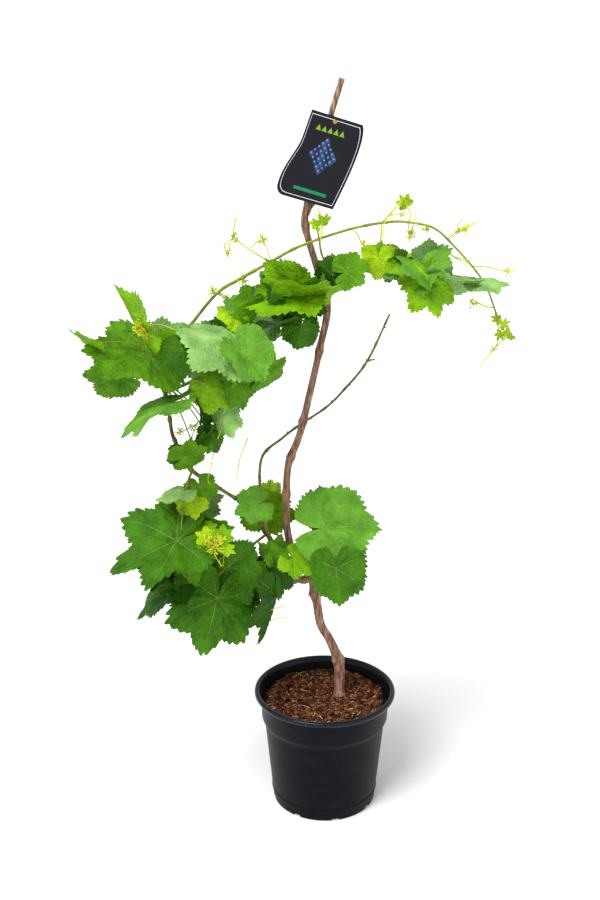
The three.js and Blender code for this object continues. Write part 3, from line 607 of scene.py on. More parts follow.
# The tints are partly the vine's own greens, lime on young leaves and darker on older ones, and partly
# painted light chosen leaf by leaf: bright paints a leaf in full light, dark a leaf in shade, and pale and
# soft a pale sheen off the blade.
LEAF_COLOURS = {
    "bright": srgb(114, 166, 4), "lime": srgb(152, 192, 12), "mid": srgb(80, 134, 4),
    "green": srgb(58, 110, 4), "dark": srgb(38, 84, 2), "soft": srgb(94, 152, 40), "pale": srgb(136, 182, 96),
}
TINT_NAMES = list(LEAF_COLOURS)
SMOOTH_TINTS = ("pale", "soft")  # the leaves whose blades are the least wrinkled
VEIN_PALE = srgb(176, 198, 104)
VEINS = len(TINT_NAMES)  # each tint's veins follow the tints, in the same order
UNDER = 2 * VEINS
leaf_materials = [leaf_material("leaf_" + name, colour) for name, colour in LEAF_COLOURS.items()]
for name, colour in LEAF_COLOURS.items():
    leaf_materials.append(leaf_material("vein_" + name, blend(colour, VEIN_PALE, 0.42), 0.5, quilt=0.0))
leaf_materials.append(leaf_material("leaf_underside", srgb(104, 150, 76), 0.7, 0.2))
young = leaf_material("young_shoot", srgb(136, 154, 40), 0.5)
bud_yellow = plain_material("bud_yellow", (200, 204, 46), 0.5, 90, 0.22)
leaf_stalk = plain_material("leaf_stalk", (126, 134, 48), 0.5, 60, 0.25)
# tones from cracks to crests: the dark crack tones are partly painted shade, and the light crest tones are
# partly painted highlight
bark = bark_material("bark", [(48, 28, 18), (112, 76, 56), (152, 114, 92), (196, 164, 142)])
arm_bark = bark_material("arm_bark", [(70, 46, 30), (124, 92, 68), (164, 132, 108)], 260)
cut_wood = plain_material("cut_wood", (196, 172, 132), 0.8, 500, 0.2)
cane_brown = bark_material("cane_brown", [(78, 66, 30), (112, 100, 48), (146, 132, 78)])
cane_olive = bark_material("cane_olive", [(70, 78, 20), (104, 114, 34), (140, 148, 66)])
cane_green = bark_material("cane_green", [(78, 92, 16), (110, 126, 28), (148, 162, 56)], depth=0.0004)


# ---- Limbs ----
def bark_relief(seed, depth, knots=(), length=1.0, scar=0.0):
    """Wandering ridges along a limb, with a swelling and a scar at each knot's share of the length."""
    draw = random(seed)
    crack_phase = draw() * TURN
    waves = [
        (m, depth * (0.5 + draw()) / math.sqrt(m / 5), draw() * TURN, (draw() - 0.5) * 0.04, 20 + 60 * draw())
        for m in (3, 4, 5, 7, 9, 11, 13, 17)
    ]

    def relief(run, angle):
        factor = 1.0 + 0 * run * angle
        for m, amount, phase, twist, wander in waves:
            drift = 1.5 * np.sin(run / wander + phase) + run * twist
            factor = factor + amount * np.sin(m * angle + phase + drift)
        factor = factor + 0.5 * depth * np.sin(run / 1.7 + 3 * np.sin(angle * 2)) * np.sin(run / 9.3 + angle)
        factor = factor - 0.9 * depth * np.maximum(np.sin(6 * angle + run / 14 + crack_phase), 0.6) ** 6
        for n, knot in enumerate(knots):
            away = (run - knot * run[-1, 0]) / length
            factor = factor + 0.24 * np.exp(-(away**2)) + 0.09 * np.exp(-((away * 5) ** 2))
            side = np.cos(angle - (n % 2) * math.pi - 0.7)
            factor = factor + scar * np.exp(-((away * 1.6) ** 2)) * np.maximum(side, 0) ** 4
        return factor

    return relief


def make_trunk():
    trunk = Shape()
    knots = (0.065, 0.19, 0.24, 0.37, 0.43, 0.49, 0.6, 0.7, 0.79, 0.835, 0.93)
    tube(trunk, PATHS["trunk"], 44, 760, tip=1, relief=bark_relief(5, 0.035, knots, 8, 0.3))
    tube(trunk, PATHS["trunk_stub"], 24, 24, tip=1, relief=bark_relief(8, 0.04))
    # pruning stubs at the fork
    for x, y, z, r, lean, turn in ((-21, -3, 349, 3.6, 60, 250), (-14, -3, 356, 2.6, 70, 300)):
        lift, way = math.radians(lean), math.radians(turn)
        out = np.array([math.cos(way) * math.sin(lift), math.sin(way) * math.sin(lift), math.cos(lift)])
        rows = [[*(np.array([x, y, z]) + out * k), r * (1 - 0.03 * k)] for k in (-2, 2, 5.5)]
        tube(trunk, rows, 18, 14, tip=1, relief=bark_relief(int(r * 10), 0.06))
    place("trunk_bark", trunk.mesh("trunk_bark", [bark, cut_wood]), "trunk", "bark")


def make_lower_arm():
    arm = Shape()
    tube(arm, PATHS["lower_arm"], 32, 200, relief=bark_relief(12, 0.04, (0.1, 0.32, 0.62, 0.98), 6, 0.25))
    tube(arm, PATHS["arm_stub"], 24, 24, tip=1, relief=bark_relief(14, 0.04))
    place("lower_arm_bark", arm.mesh("lower_arm_bark", [arm_bark, cut_wood]), "lower_arm", "bark")


def add_buds(shape, path, shares, size):
    """Small pointed buds, on alternate sides of a cane."""
    for n, share in enumerate(shares):
        here, ahead = on_path(path, [share, min(share + 0.01, 1)])
        along = unit((ahead - here)[:3])
        out = unit(np.cross(along, [0, 1, 0])) * (1 if n % 2 else -1)
        foot = here[:3] + out * here[3] * 0.6
        rows = [
            [*foot, size * 0.7],
            [*(foot + out * size * 0.8 + along * size * 0.5), size * 0.62],
            [*(foot + out * size * 1.2 + along * size * 1.6), size * 0.12],
        ]
        tube(shape, rows, 8, 6)


def make_cane(name, node, path, span, materials, knots, seed, bud=1.4, twigs=()):
    """A stretch of cane with a knot and a bud at each of its shares."""
    cane = Shape()
    shares = [(k - span[0]) / (span[1] - span[0]) for k in knots if span[0] <= k <= span[1]]
    relief = bark_relief(seed, 0.025, shares, 4.5, 0.2)
    tube(cane, PATHS[path], 18, 190, tip=len(materials) - 1, span=span, relief=relief)
    for twig in twigs:
        tube(cane, PATHS[twig], 10, 12, relief=bark_relief(seed + 1, 0.03))
    add_buds(cane, PATHS[path], [k for k in knots if span[0] < k < span[1]], bud)
    place(name, cane.mesh(name, materials), node, "cane")


def make_canes():
    left = (0.08, 0.2, 0.31, 0.45, 0.55, 0.68, 0.82, 0.97)
    make_cane("left_cane_wood", "left_cane_lower", "left_cane", (0, 3 / 7), [cane_olive], left, 21)
    make_cane("left_cane_top", "left_cane_upper", "left_cane", (3 / 7, 1), [cane_brown], left, 22)
    make_cane("arch_cane_skin", "arch_cane", "arch", (0, 3 / 15), [cane_green], (0.05, 0.13), 23, bud=1)
    bare = (0.06, 0.15, 0.25, 0.36, 0.48, 0.6, 0.7, 0.8, 0.89, 0.97)
    make_cane("bare_cane_wood", "bare_cane_lower", "bare_cane", (0, 3 / 9), [cane_brown], bare, 24)
    tip = [cane_brown, cut_wood]
    make_cane("bare_cane_tip", "bare_cane_upper", "bare_cane", (3 / 9, 1), tip, bare, 25, twigs=["bud_twig"])


# ---- Leaves ----
def leaf_frame(x, y, z, size, heading, lean, roll, fold=0, droop=LEAF["droop"], cut=LEAF["cut"]):
    """A leaf's place and its own axes. heading turns from +X towards +Z, and lean is to the front."""
    heading, lean = math.radians(heading), math.radians(lean)
    tip = np.array([math.cos(heading) * math.cos(lean), -math.sin(lean), math.sin(heading) * math.cos(lean)])
    front = np.array([0.0, -1, 0])
    face = turned(unit(front - tip * np.dot(front, tip)), tip, math.radians(roll))
    return {
        "at": np.array([x, y, z], float), "size": size, "tip": tip, "face": face,
        "side": np.cross(face, tip), "fold": math.radians(fold), "droop": droop, "cut": cut,
    }


def on_leaf(leaf, u, v, lift=0.0):
    """Places on a leaf's middle surface, lifted by a share of its size."""
    u, v = np.asarray(u, float), np.asarray(v, float)
    ruffle = LEAF["ruffle"] * np.hypot(u, v) ** 2 * np.cos(5 * np.arctan2(v, u))
    height = -leaf["droop"] * np.maximum(u, 0) ** 2 - LEAF["cup"] * v * v + ruffle
    height = height + np.abs(v) * math.sin(leaf["fold"]) + lift
    return leaf["at"] + leaf["size"] * (
        u[..., None] * leaf["tip"]
        + (v * math.cos(leaf["fold"]))[..., None] * leaf["side"]
        + height[..., None] * leaf["face"]
    )


def lobe_radius(angle, cut):
    """The outline's radius without its teeth, at an angle in degrees from the tip."""
    turns, outs, depths = (np.array(column, float) for column in zip(*LEAF["lobes"]))
    radii = outs - cut * depths
    angle = np.abs(np.asarray(angle, float))
    j = np.clip(np.searchsorted(turns, angle, side="right") - 1, 0, len(turns) - 2)
    share = (angle - turns[j]) / (turns[j + 1] - turns[j])
    rising = radii[j + 1] > radii[j]
    share = np.where(rising, share ** LEAF["full"], 1 - (1 - share) ** LEAF["full"])
    return radii[j] + (radii[j + 1] - radii[j]) * share


def side_vein(spot, length, heading, way, cut):
    """A side vein from a place on a main one, up to where it would leave the blade."""
    steps = np.linspace(0, 1, 5)
    turns = heading + way * math.radians(50) - way * math.radians(16) * steps
    line = spot + np.cumsum(
        np.stack([np.cos(turns), np.sin(turns)], 1) * length / 4 * (steps > 0)[:, None], 0
    )
    out = np.hypot(line[:, 0], line[:, 1])
    inside = out < 0.94 * lobe_radius(np.degrees(np.arctan2(line[:, 1], line[:, 0])), cut)
    return line if inside.all() else line[:int(np.argmin(inside))]


def vein_lines(draw, sides, cut):
    """The veins as rows of (u, v) along each, with each one's half width at its two ends."""
    lines = []
    along = np.linspace(0, 1, 9)
    for n, turn in enumerate(LEAF["veins"]):
        for hand in (1, -1) if turn else (1,):
            base = hand * turn
            reach = float(lobe_radius(base, cut)) * LEAF["vein_ends"][n]
            bend = np.radians(base + hand * 5 * np.sin(along * math.pi) * (1 if turn else 0.4))
            line = np.stack([reach * along * np.cos(bend), reach * along * np.sin(bend)], 1)
            lines.append((line, LEAF["vein_widths"][n], 0.0016))
            if turn == LEAF["veins"][-1]:
                continue
            for k in range(sides):
                share = (k + 0.7 + 0.25 * draw()) / (sides + 0.6)
                spot = np.array([np.interp(share, along, line[:, i]) for i in (0, 1)])
                length = min(0.82 * share * reach, 0.5)
                for way in (1, -1):
                    side = side_vein(spot, length, math.radians(base), way, cut)
                    if len(side) > 2:
                        lines.append((side, 0.003, 0.001))
    return lines


def gap_to(lines, u, v):
    """How far each place lies from the nearest vein."""
    best = np.full(u.shape, 9.0)
    for line, _, _ in lines:
        for a, b in zip(line[:-1], line[1:]):
            d = b - a
            t = np.clip(((u - a[0]) * d[0] + (v - a[1]) * d[1]) / max(d @ d, 1e-9), 0, 1)
            best = np.minimum(best, np.hypot(u - a[0] - t * d[0], v - a[1] - t * d[1]))
    return best


def detail_for(size):
    """Teeth, rings and side veins of a leaf, by its size."""
    if size >= 56:
        return 50, 13, 5
    if size >= 38:
        return 42, 10, 4
    if size >= 24:
        return 32, 7, 3
    return 24, 5, 2


def toothed_edge(draw, teeth, cut):
    """Angles round a leaf, and the outline's radius and tooth at each: blunt teeth of uneven sizes."""
    widths = np.array([0.6 + 0.8 * draw() for _ in range(teeth)])
    notches = np.concatenate([[0], np.cumsum(widths)[:-1]]) / widths.sum() * 360 - 180
    angles, bites = [], []
    for notch, step in zip(notches, widths / widths.sum() * 360):
        middle = notch + step / 2
        grow = min(max((170 - abs(middle)) / 30, 0), 1) * (0.5 + draw()) * step * teeth / 360
        peak = 0.5 + (0.12 if middle < 0 else -0.12)
        angles += [notch] + [notch + step * (peak + away) for away in (-0.24, 0, 0.24)]
        bites += [bite * grow for bite in (-0.028, 0.012, 0.034, 0.012)]
    angles, bites = np.array(angles), np.array(bites)
    # each lobe is a little longer or shorter than its pair
    sway = sum(0.03 * (draw() - 0.5) * np.cos(np.radians(angles * k + 360 * draw())) for k in (1, 2, 3, 5, 7))
    return angles, lobe_radius(angles, cut) * (1 + sway), bites


def add_leaf(blades, leaf, tint, seed):
    """One toothed blade with its underside, and its veins as low ridges."""
    draw = random(seed)
    teeth, rings, side_veins = detail_for(leaf["size"])
    angles, radii, bites = toothed_edge(draw, teeth, leaf["cut"])
    shares = (np.arange(1, rings + 1) / rings)[:, None] ** 0.92
    reach = shares * (radii[None, :] + bites[None, :] * shares**8)
    turn = np.radians(angles)
    u, v = reach * np.cos(turn), reach * np.sin(turn)
    lines = vein_lines(draw, side_veins, leaf["cut"])
    out = np.hypot(u, v)
    phase = [draw() * TURN for _ in range(4)]
    wrinkled = 0.6 if TINT_NAMES[tint] in SMOOTH_TINTS else 1.0
    relief = wrinkled * 0.036 * (1 - np.exp(-((gap_to(lines, u, v) / 0.05) ** 2)))
    relief = relief + wrinkled * 0.006 * np.sin(u * 34 + phase[0]) * np.sin(v * 31 + phase[1])
    curl = 0.05 * out**2 * np.sin(turn * 3 + phase[3])
    relief = relief + 0.034 * out**3 * np.sin(turn * 9 + phase[2]) + curl
    top = on_leaf(leaf, u, v, relief)
    centre = on_leaf(leaf, 0.0, 0.0)
    columns = len(angles)
    drop = leaf["face"] * LEAF["thick"]
    upper = np.vstack([centre[None], top.reshape(-1, 3)])
    quads = grid_faces(rings, columns) + 1
    blades.add(upper, [fan_faces(0, 1, columns), quads[:, [0, 3, 2, 1]]], tint)
    blades.add(upper - drop, [fan_faces(0, 1, columns, flip=True), quads], UNDER)
    edge = upper[-columns:]
    blades.add(np.vstack([edge, edge - drop]), [grid_faces(2, columns)[:, [0, 3, 2, 1]]], tint)
    surface = np.concatenate([np.repeat(centre[None, None], columns, 1), top])
    add_veins(blades, leaf, lines, (angles, radii, np.append(0, shares), surface), VEINS + tint)


def lie_on(blade, u, v):
    """Places on the faces of a blade, given as its columns' angles and radii, its rows' shares and places."""
    angles, radii, shares, surface = blade
    columns = len(angles)
    ends, ends_radii = np.append(angles, 180.0), np.append(radii, radii[0])
    turn = np.degrees(np.arctan2(v, u))
    j = np.clip(np.searchsorted(ends, turn, side="right") - 1, 0, columns - 1)
    across = ((turn - ends[j]) / (ends[j + 1] - ends[j]))[:, None]
    share = np.clip(np.hypot(u, v) / np.interp(turn, ends, ends_radii), 0, 1)
    i = np.clip(np.searchsorted(shares, share, side="right") - 1, 0, len(shares) - 2)
    out = ((share - shares[i]) / (shares[i + 1] - shares[i]))[:, None]
    k = (j + 1) % columns
    near = surface[i, j] * (1 - across) + surface[i, k] * across
    far = surface[i + 1, j] * (1 - across) + surface[i + 1, k] * across
    return near * (1 - out) + far * out


def add_veins(blades, leaf, lines, blade, kind):
    """Low closed ridges along the veins, their feet sunk in the blade's own faces."""
    for line, wide, narrow in lines:
        along = np.gradient(line, axis=0)
        along /= np.maximum(np.hypot(along[:, 0], along[:, 1]), 1e-9)[:, None]
        half = np.linspace(wide, narrow, len(line))
        aside = np.stack([-along[:, 1], along[:, 0]], 1) * half[:, None]
        lift = leaf["face"] * np.maximum(0.12, half * leaf["size"] * 0.45)[:, None]
        rows = np.stack([
            lie_on(blade, *(line + aside).T) - leaf["face"] * 0.05,
            lie_on(blade, *line.T) + lift,
            lie_on(blade, *(line - aside).T) - leaf["face"] * 0.05,
        ], 1)
        last = 3 * len(line) - 1
        ends = [[0, 2, 1], [last - 2, last - 1, last]]
        blades.add(rows.reshape(-1, 3), [grid_faces(len(line), 3), ends], kind)


def stalk_path(stem, span, leaf):
    """A leaf stalk from the nearest place on the stem, sagging a little."""
    at = span[0] + (span[1] - span[0]) * np.arange(1, 25) / 24
    places = on_path(stem, at)[:, :3]
    far = np.linalg.norm(places - leaf["at"], axis=1) + 0.6 * np.maximum(places[:, 2] - leaf["at"][2], 0)
    foot = places[int(np.argmin(far))]
    end = on_leaf(leaf, -0.03, 0.0)
    behind = end - leaf["face"] * 0.1 * leaf["size"] - leaf["tip"] * 0.06 * leaf["size"]
    middle = (foot + behind) / 2
    middle[2] += 0.08 * np.linalg.norm(foot - behind)
    r = LEAF["stalk"]
    return [[*foot, r * 1.15], [*middle, r * 0.85], [*behind, r * 0.78], [*end, r * 0.7]]


def seeded_leaves(spec):
    """Leaves placed by the frame's seeded rule inside a mass's space, some of them then shifted."""
    if "extra" not in spec:
        return []
    draw = random(spec["extra"]["seed"])
    count = spec["extra"]["count"]
    small, large = spec["extra"]["size"]
    centre, reach = spec["space"]
    rows = []
    for k in range(count):
        turn = 360 * (k + draw()) / count
        out = 0.35 + 0.5 * math.sqrt(draw())
        back = draw() - 0.3
        size = small + (large - small) * draw()
        place_and_size = [
            centre[0] + reach[0] * out * math.cos(math.radians(turn)),
            centre[1] + reach[1] * back,
            centre[2] + reach[2] * out * math.sin(math.radians(turn)),
            size,
        ]
        shift = spec.get("shifts", {}).get(k, (0, 0, 0, 0))
        turns = [turn + 50 * (draw() - 0.5), -25 * draw(), 180 + 70 * (draw() - 0.5)]
        rows.append([a + b for a, b in zip(place_and_size, shift)] + turns)
    return rows


# ---- Tendrils and blossom ----
def add_tendril(shoots, rows, seed):
    """A tendril along its rows, with side hooks on the way and a curl at its end."""
    draw = random(seed)
    tube(shoots, rows, 7, 22, kind=2)
    count = 3 + int(3 * draw())
    for k in range(count):
        share = 0.35 + 0.6 * (k + draw()) / count
        here, ahead = on_path(rows, [share, min(share + 0.03, 1)])
        add_hook(shoots, here[:3], unit((ahead - here)[:3]), 5 + 6 * draw(), 0.5, draw)
    end = np.array(rows[-1][:3], float)
    along = unit(end - np.array(rows[-2][:3], float))
    add_hook(shoots, end, along, 9 + 4 * draw(), rows[-1][3] * 0.75, draw)
    add_hook(shoots, end, along, 6 + 3 * draw(), 0.45, draw)


def add_hook(shoots, start, along, length, radius, draw):
    """A short curling thread that leaves at an angle."""
    side = unit(np.cross(along, np.array([draw() - 0.5, draw() - 0.5, draw() - 0.5])))
    axis = unit(np.cross(along, side))
    way = turned(along, axis, 0.5 * draw())
    spot, rows = np.array(start, float), []
    curl = (1.2 + 2.2 * draw()) * (1 if draw() > 0.5 else -1)
    for k in range(7):
        rows.append([*spot, radius * (1 - 0.09 * k)])
        spot = spot + way * length / 6
        way = turned(way, axis, curl * (0.06 + 0.06 * k))
    tube(shoots, rows, 5, 12, kind=2)


def add_blossom(shoots, centre, reach, seed, count):
    """A young flower cluster: short threads with a bud at each end."""
    draw = random(seed)
    centre = np.array(centre, float)
    for _ in range(count):
        turn, lift = draw() * TURN, math.asin(2 * draw() - 1)
        out = np.array([math.cos(turn) * math.cos(lift), math.sin(turn) * math.cos(lift), math.sin(lift)])
        far = reach * (0.35 + 0.65 * draw())
        bow = unit(np.cross(out, [0.3, 0.2, 1])) * reach * 0.3 * (draw() - 0.5)
        end = centre + out * far
        thick = 0.4 + 0.25 * draw()
        thread = [[*centre, thick], [*((centre + end) / 2 + bow), thick], [*end, thick * 0.8]]
        tube(shoots, thread, 5, 5, kind=2)
        bead = [[*(end + out * rise), r] for rise, r in ((0, 0.3), (0.7, 1), (1.5, 0.95), (2.2, 0.2))]
        tube(shoots, bead, 6, 5, kind=2)


def make_mass(name, spec):
    """A mass's blades in one piece, and its stem, stalks and tendrils in another."""
    is_shoot = name.startswith("shoot")
    span = spec.get("span", (0, 1))
    wood, blades = Shape(), Shape()
    stem = [[x, y, z, r * (1.2 if is_shoot else 1)] for x, y, z, r in spec["stem"]]
    relief = bark_relief(3 + len(name), 0.02, (0.3, 0.6), 5, 0.15)
    tube(wood, stem, 12, 120 if "span" in spec else 60, span=span, relief=relief)
    seed = sum(map(ord, name))
    draw = random(seed)
    leaves = list(spec.get("leaves", []))
    for row in seeded_leaves(spec):
        leaves.append((REAR_TINTS[int(draw() * len(REAR_TINTS))], *row))
    for n, (tint, *row) in enumerate(leaves):
        leaf = leaf_frame(*row)
        add_leaf(blades, leaf, TINT_NAMES.index(tint), seed + 7 * n)
        if leaf["size"] > LEAF["sessile"]:
            tube(wood, stalk_path(spec["stem"], span, leaf), 8, 14, kind=1)
    for n, path in enumerate(spec.get("tendrils", [])):
        add_tendril(wood, path, seed + 31 * n)
    for n, path in enumerate(spec.get("threads", [])):
        add_tendril(wood, [[*spot, 0.8 - 0.1 * k] for k, spot in enumerate(path)], seed + 17 * n)
    for n, (x, y, z, reach, count) in enumerate(spec.get("buds", [])):
        add_blossom(wood, (x, y, z), reach, seed + 13 * n, count)
    slot = "young_shoot" if is_shoot else "leaf"
    wood_materials = [young if is_shoot else cane_green, leaf_stalk, bud_yellow]
    place(name + "_stems", wood.mesh(name + "_stems", wood_materials), name, slot)
    if leaves:
        place(name + "_blades", blades.mesh(name + "_blades", leaf_materials), name, slot)


# ---- Pot and soil ----
def make_pot():
    """The pot, turned from its section: up the outside, over the rolled lip and down the inside."""
    foot, waist, waist_z = POT["foot"], POT["waist"], POT["waist_z"]
    collar, collar_z, rim, top = POT["collar"], POT["collar_z"], POT["rim"], POT["height"]
    wall, floor, sides = POT["wall"], POT["floor"], POT["sides"]
    below = top - POT["lip"]
    outside = [
        (foot - 6, 0), (foot - 2, 0), (foot - 0.6, 0.5), (foot, 2), (foot + 0.1, 3), (foot + 1.6, 15.6),
        (foot + 2.4, 16.4), (foot + 2.5, 18.4), (foot + 1.9, 19.4), (waist - 0.3, waist_z - 4),
        (waist + 0.2, waist_z), (waist + 1.4, waist_z + 3), (collar - 2.2, collar_z - 1.6),
        (collar - 1.3, collar_z + 1), (collar, below - 3), (collar + 0.8, below - 0.6),
    ]
    rolled = [
        (rim - 2.6, below), (rim - 1, below + 0.7), (rim - 0.2, below + 2), (rim, below + 3.6),
        (rim, top - 3.4), (rim - 0.5, top - 1.4), (rim - 1.7, top - 0.3), (rim - 3, top),
        (rim - 4.6, top), (rim - 6, top - 0.5), (rim - 7, top - 1.7),
    ]
    inside = [
        (rim - 7.5, below), (collar - wall, top - 13), (collar - 1.5 - wall, collar_z + 1),
        (waist - wall, waist_z + 1.5), (foot - wall, 4), (foot - wall - 2, floor),
    ]
    rows = np.array(outside + rolled + inside, float)
    angles = round_angles(sides)
    x, y = rows[:, :1] * np.cos(angles), rows[:, :1] * np.sin(angles)
    rings = np.stack([x, y, np.repeat(rows[:, 1:], sides, 1)], 2).reshape(-1, 3)
    count = len(rings)
    bands = grid_faces(len(rows), sides)
    first_lip = len(outside) * sides
    last_lip = first_lip + len(rolled) * sides
    under = fan_faces(count, 0, sides, flip=True)
    base = fan_faces(count + 1, count - sides, sides)
    shell = Shape()
    blocks = [bands[:first_lip], bands[last_lip:], under, base, bands[first_lip:last_lip]]
    shell.add(np.vstack([rings, [[0, 0, 0], [0, 0, floor]]]), blocks, 0, 0, 0, 0, 1)
    skins = [pot_material("pot_plastic", 0.08, 0.42), pot_material("pot_lip", 0.3, 0.3)]
    pot = place("pot_shell", shell.mesh("pot_shell", skins), "pot", "pot_plastic")
    cut_notches(pot)


def cut_notches(pot):
    """Cuts the drain notches out of the pot's foot."""
    cutters = Shape()
    for n in range(DRAIN["count"]):
        turn = math.radians(DRAIN["phase"] - 90) + TURN * n / DRAIN["count"]
        local = CUBE * [DRAIN["depth"] / 2, DRAIN["width"] / 2, DRAIN["height"]] + [POT["foot"] - 1, 0, 0]
        cos, sin = math.cos(turn), math.sin(turn)
        cutters.add(local @ np.array([[cos, sin, 0], [-sin, cos, 0], [0, 0, 1]]), [CUBE_FACES], 0)
    cutter = bpy.data.objects.new("cutter", cutters.mesh("cutter", [], False))
    bpy.context.collection.objects.link(cutter)
    cut = pot.modifiers.new("notches", "BOOLEAN")
    cut.object, cut.operation, cut.solver = cutter, "DIFFERENCE", "EXACT"
    notched = evaluated_mesh(pot)
    pot.modifiers.clear()
    pot.data = notched
    bpy.data.objects.remove(cutter)
    notched.set_sharp_from_angle(angle=math.radians(35))


def soil_top(x, y):
    """The mix's height: level round the trunk's foot, and mounded and uneven past it."""
    rough = np.clip((np.hypot(x - FOOT["x"], y - FOOT["y"]) - SOIL["footing"]) / 10, 0, 1)
    mound = SOIL["mound"] * (1 - (np.hypot(x, y) / SOIL["reach"]) ** 2)
    flat = SOIL["mound"] * (1 - (math.hypot(FOOT["x"], FOOT["y"]) / SOIL["reach"]) ** 2)
    bumps = SOIL["bump"] * (np.sin(x / 7 + 1) * np.cos(y / 8) + np.sin((x + 2 * y) / 12))
    return SOIL["level"] + flat + (mound - flat + bumps) * rough


def make_soil():
    """A rough bed with its skirt and floor, and the fibres and chips that lie on it."""
    edge = POT["collar"] - POT["wall"] - 0.6
    rings, sides = 44, 132
    draw = random(301)
    radii = np.linspace(0.02, 1, rings) * edge
    angles = round_angles(sides)
    x = radii[:, None] * np.cos(angles)
    y = radii[:, None] * np.sin(angles)
    jitter = np.array([draw() for _ in range(rings * sides)]).reshape(rings, sides)
    z = soil_top(x, y) - 2.2 + 2.2 * (jitter - 0.5)
    bed = Shape()
    floor_z = POT["collar_z"] + 4
    top = np.stack([x, y, z], 2).reshape(-1, 3)
    skirt = top[-sides:] * [0.985, 0.985, 0] + [0, 0, floor_z]
    middles = [[0, 0, z[0].mean()], [0, 0, floor_z]]
    count = (rings + 1) * sides
    cap = fan_faces(count, 0, sides)
    under = fan_faces(count + 1, rings * sides, sides, flip=True)
    bed.add(np.vstack([top, skirt, middles]), [grid_faces(rings + 1, sides)[:, ::-1], cap, under], 0)
    for _ in range(SOIL["fibres"]):
        add_fibre(bed, edge, draw)
    for _ in range(SOIL["chips"]):
        add_chip(bed, edge, draw)
    tones = [(20, 10, 5), (62, 32, 17), (92, 52, 28), (130, 82, 50), (204, 162, 120)]
    coir = [plain_material("coir_" + str(n), tone, 0.95, 700, 0.25) for n, tone in enumerate(tones)]
    place("soil_fibres", bed.mesh("soil_fibres", coir), "soil", "potting_mix")


def add_fibre(bed, edge, draw):
    """A short bent strand of coir, lying across the mix."""
    out = (edge - 5) * math.sqrt(draw())
    where = draw() * TURN
    x, y = out * math.cos(where), out * math.sin(where)
    if math.hypot(x - FOOT["x"], y - FOOT["y"]) < 10:
        return
    length = 4 + 9 * draw() ** 2
    way = draw() * TURN
    half = np.array([math.cos(way), math.sin(way), 0.5 * (draw() - 0.5)]) * length / 2
    bow = np.array([-math.sin(way), math.cos(way), 0.5]) * length * 0.3 * (draw() - 0.5)
    middle = np.array([x, y, float(soil_top(x, y)) - 0.6 + 2.0 * draw()])
    radius = 0.45 + 0.75 * draw() ** 2
    rows = [[*(middle - half), radius * 0.7], [*(middle + bow), radius], [*(middle + half), radius * 0.5]]
    if max(math.hypot(r[0], r[1]) for r in rows) < edge - 0.8:
        tube(bed, rows, 3, 3, kind=1 + int(draw() * 3.25))


def add_chip(bed, edge, draw):
    """A crumb of bark: a squashed block with uneven corners."""
    out = (edge - 6) * math.sqrt(draw())
    where = draw() * TURN
    x, y = out * math.cos(where), out * math.sin(where)
    if math.hypot(x - FOOT["x"], y - FOOT["y"]) < 11:
        return
    size = 1.4 + 2.2 * draw()
    corners = CUBE * (0.5 + 0.5 * np.array([[draw() for _ in range(3)] for _ in range(8)]))
    spin = Matrix.Rotation(draw() * TURN, 3, Vector((draw() - 0.5, draw() - 0.5, 1)))
    corners = corners @ np.array(spin) * [size, size, size * 0.6]
    bed.add(corners + [x, y, float(soil_top(x, y)) + 0.2], [CUBE_FACES], 1 + int(draw() * 3))


# ---- Label ----
def curve_points(start, *bends, steps=14):
    """Points along a chain of lines and Bezier bends, each given by its control points and its end."""
    points = [np.array(start, float)]
    for bend in bends:
        chain = [points[-1]] + [np.array(p, float) for p in bend]
        if len(chain) == 2:
            points.append(chain[1])
            continue
        degree = len(chain) - 1
        for k in range(1, steps + 1):
            t = k / steps
            points.append(sum(
                math.comb(degree, n) * (1 - t) ** (degree - n) * t**n * chain[n] for n in range(degree + 1)
            ))
    return points


def card_outline(inset):
    """The card's edge in its own plane, drawn in towards its middle by about inset."""
    points = curve_points(
        (-31, 6), ((34, 6),), ((42, -8), (39, -45), (29, -102)), ((-36, -103),), ((-46, -102), (-46, -90)),
        ((-46, -66), (-34, -45), (-33, -30)),
    )
    middle = np.array([-3.0, -48.0])
    return [middle + (p - middle) * (1 - inset / 48) for p in points]


def on_card(point, lift=0.0):
    """A point of the card's own plane, in the frame's axes. lift is how far it stands off the front."""
    turn = math.radians(CARD["turn"])
    x, z = point
    x0, y0, z0 = CARD["at"]
    return np.array([
        x0 + x * math.cos(turn) - z * math.sin(turn),
        y0 - CARD["thick"] - lift,
        z0 + x * math.sin(turn) + z * math.cos(turn),
    ])


def print_patch(shape, points, kind, lift):
    """A printed patch with these corners: a thin closed film, its back sunk in what is under it."""
    points = [np.array(p, float) for p in points]
    count = len(points)
    heights = (lift, lift - CARD["ink"])
    places = [on_card(p, height) for height in heights for p in points]
    places += [on_card(sum(points) / count, height) for height in heights]
    front = fan_faces(2 * count, 0, count)
    back = fan_faces(2 * count + 1, count, count, flip=True)
    shape.add(places, [front, back, grid_faces(2, count)[:, [0, 3, 2, 1]]], kind)


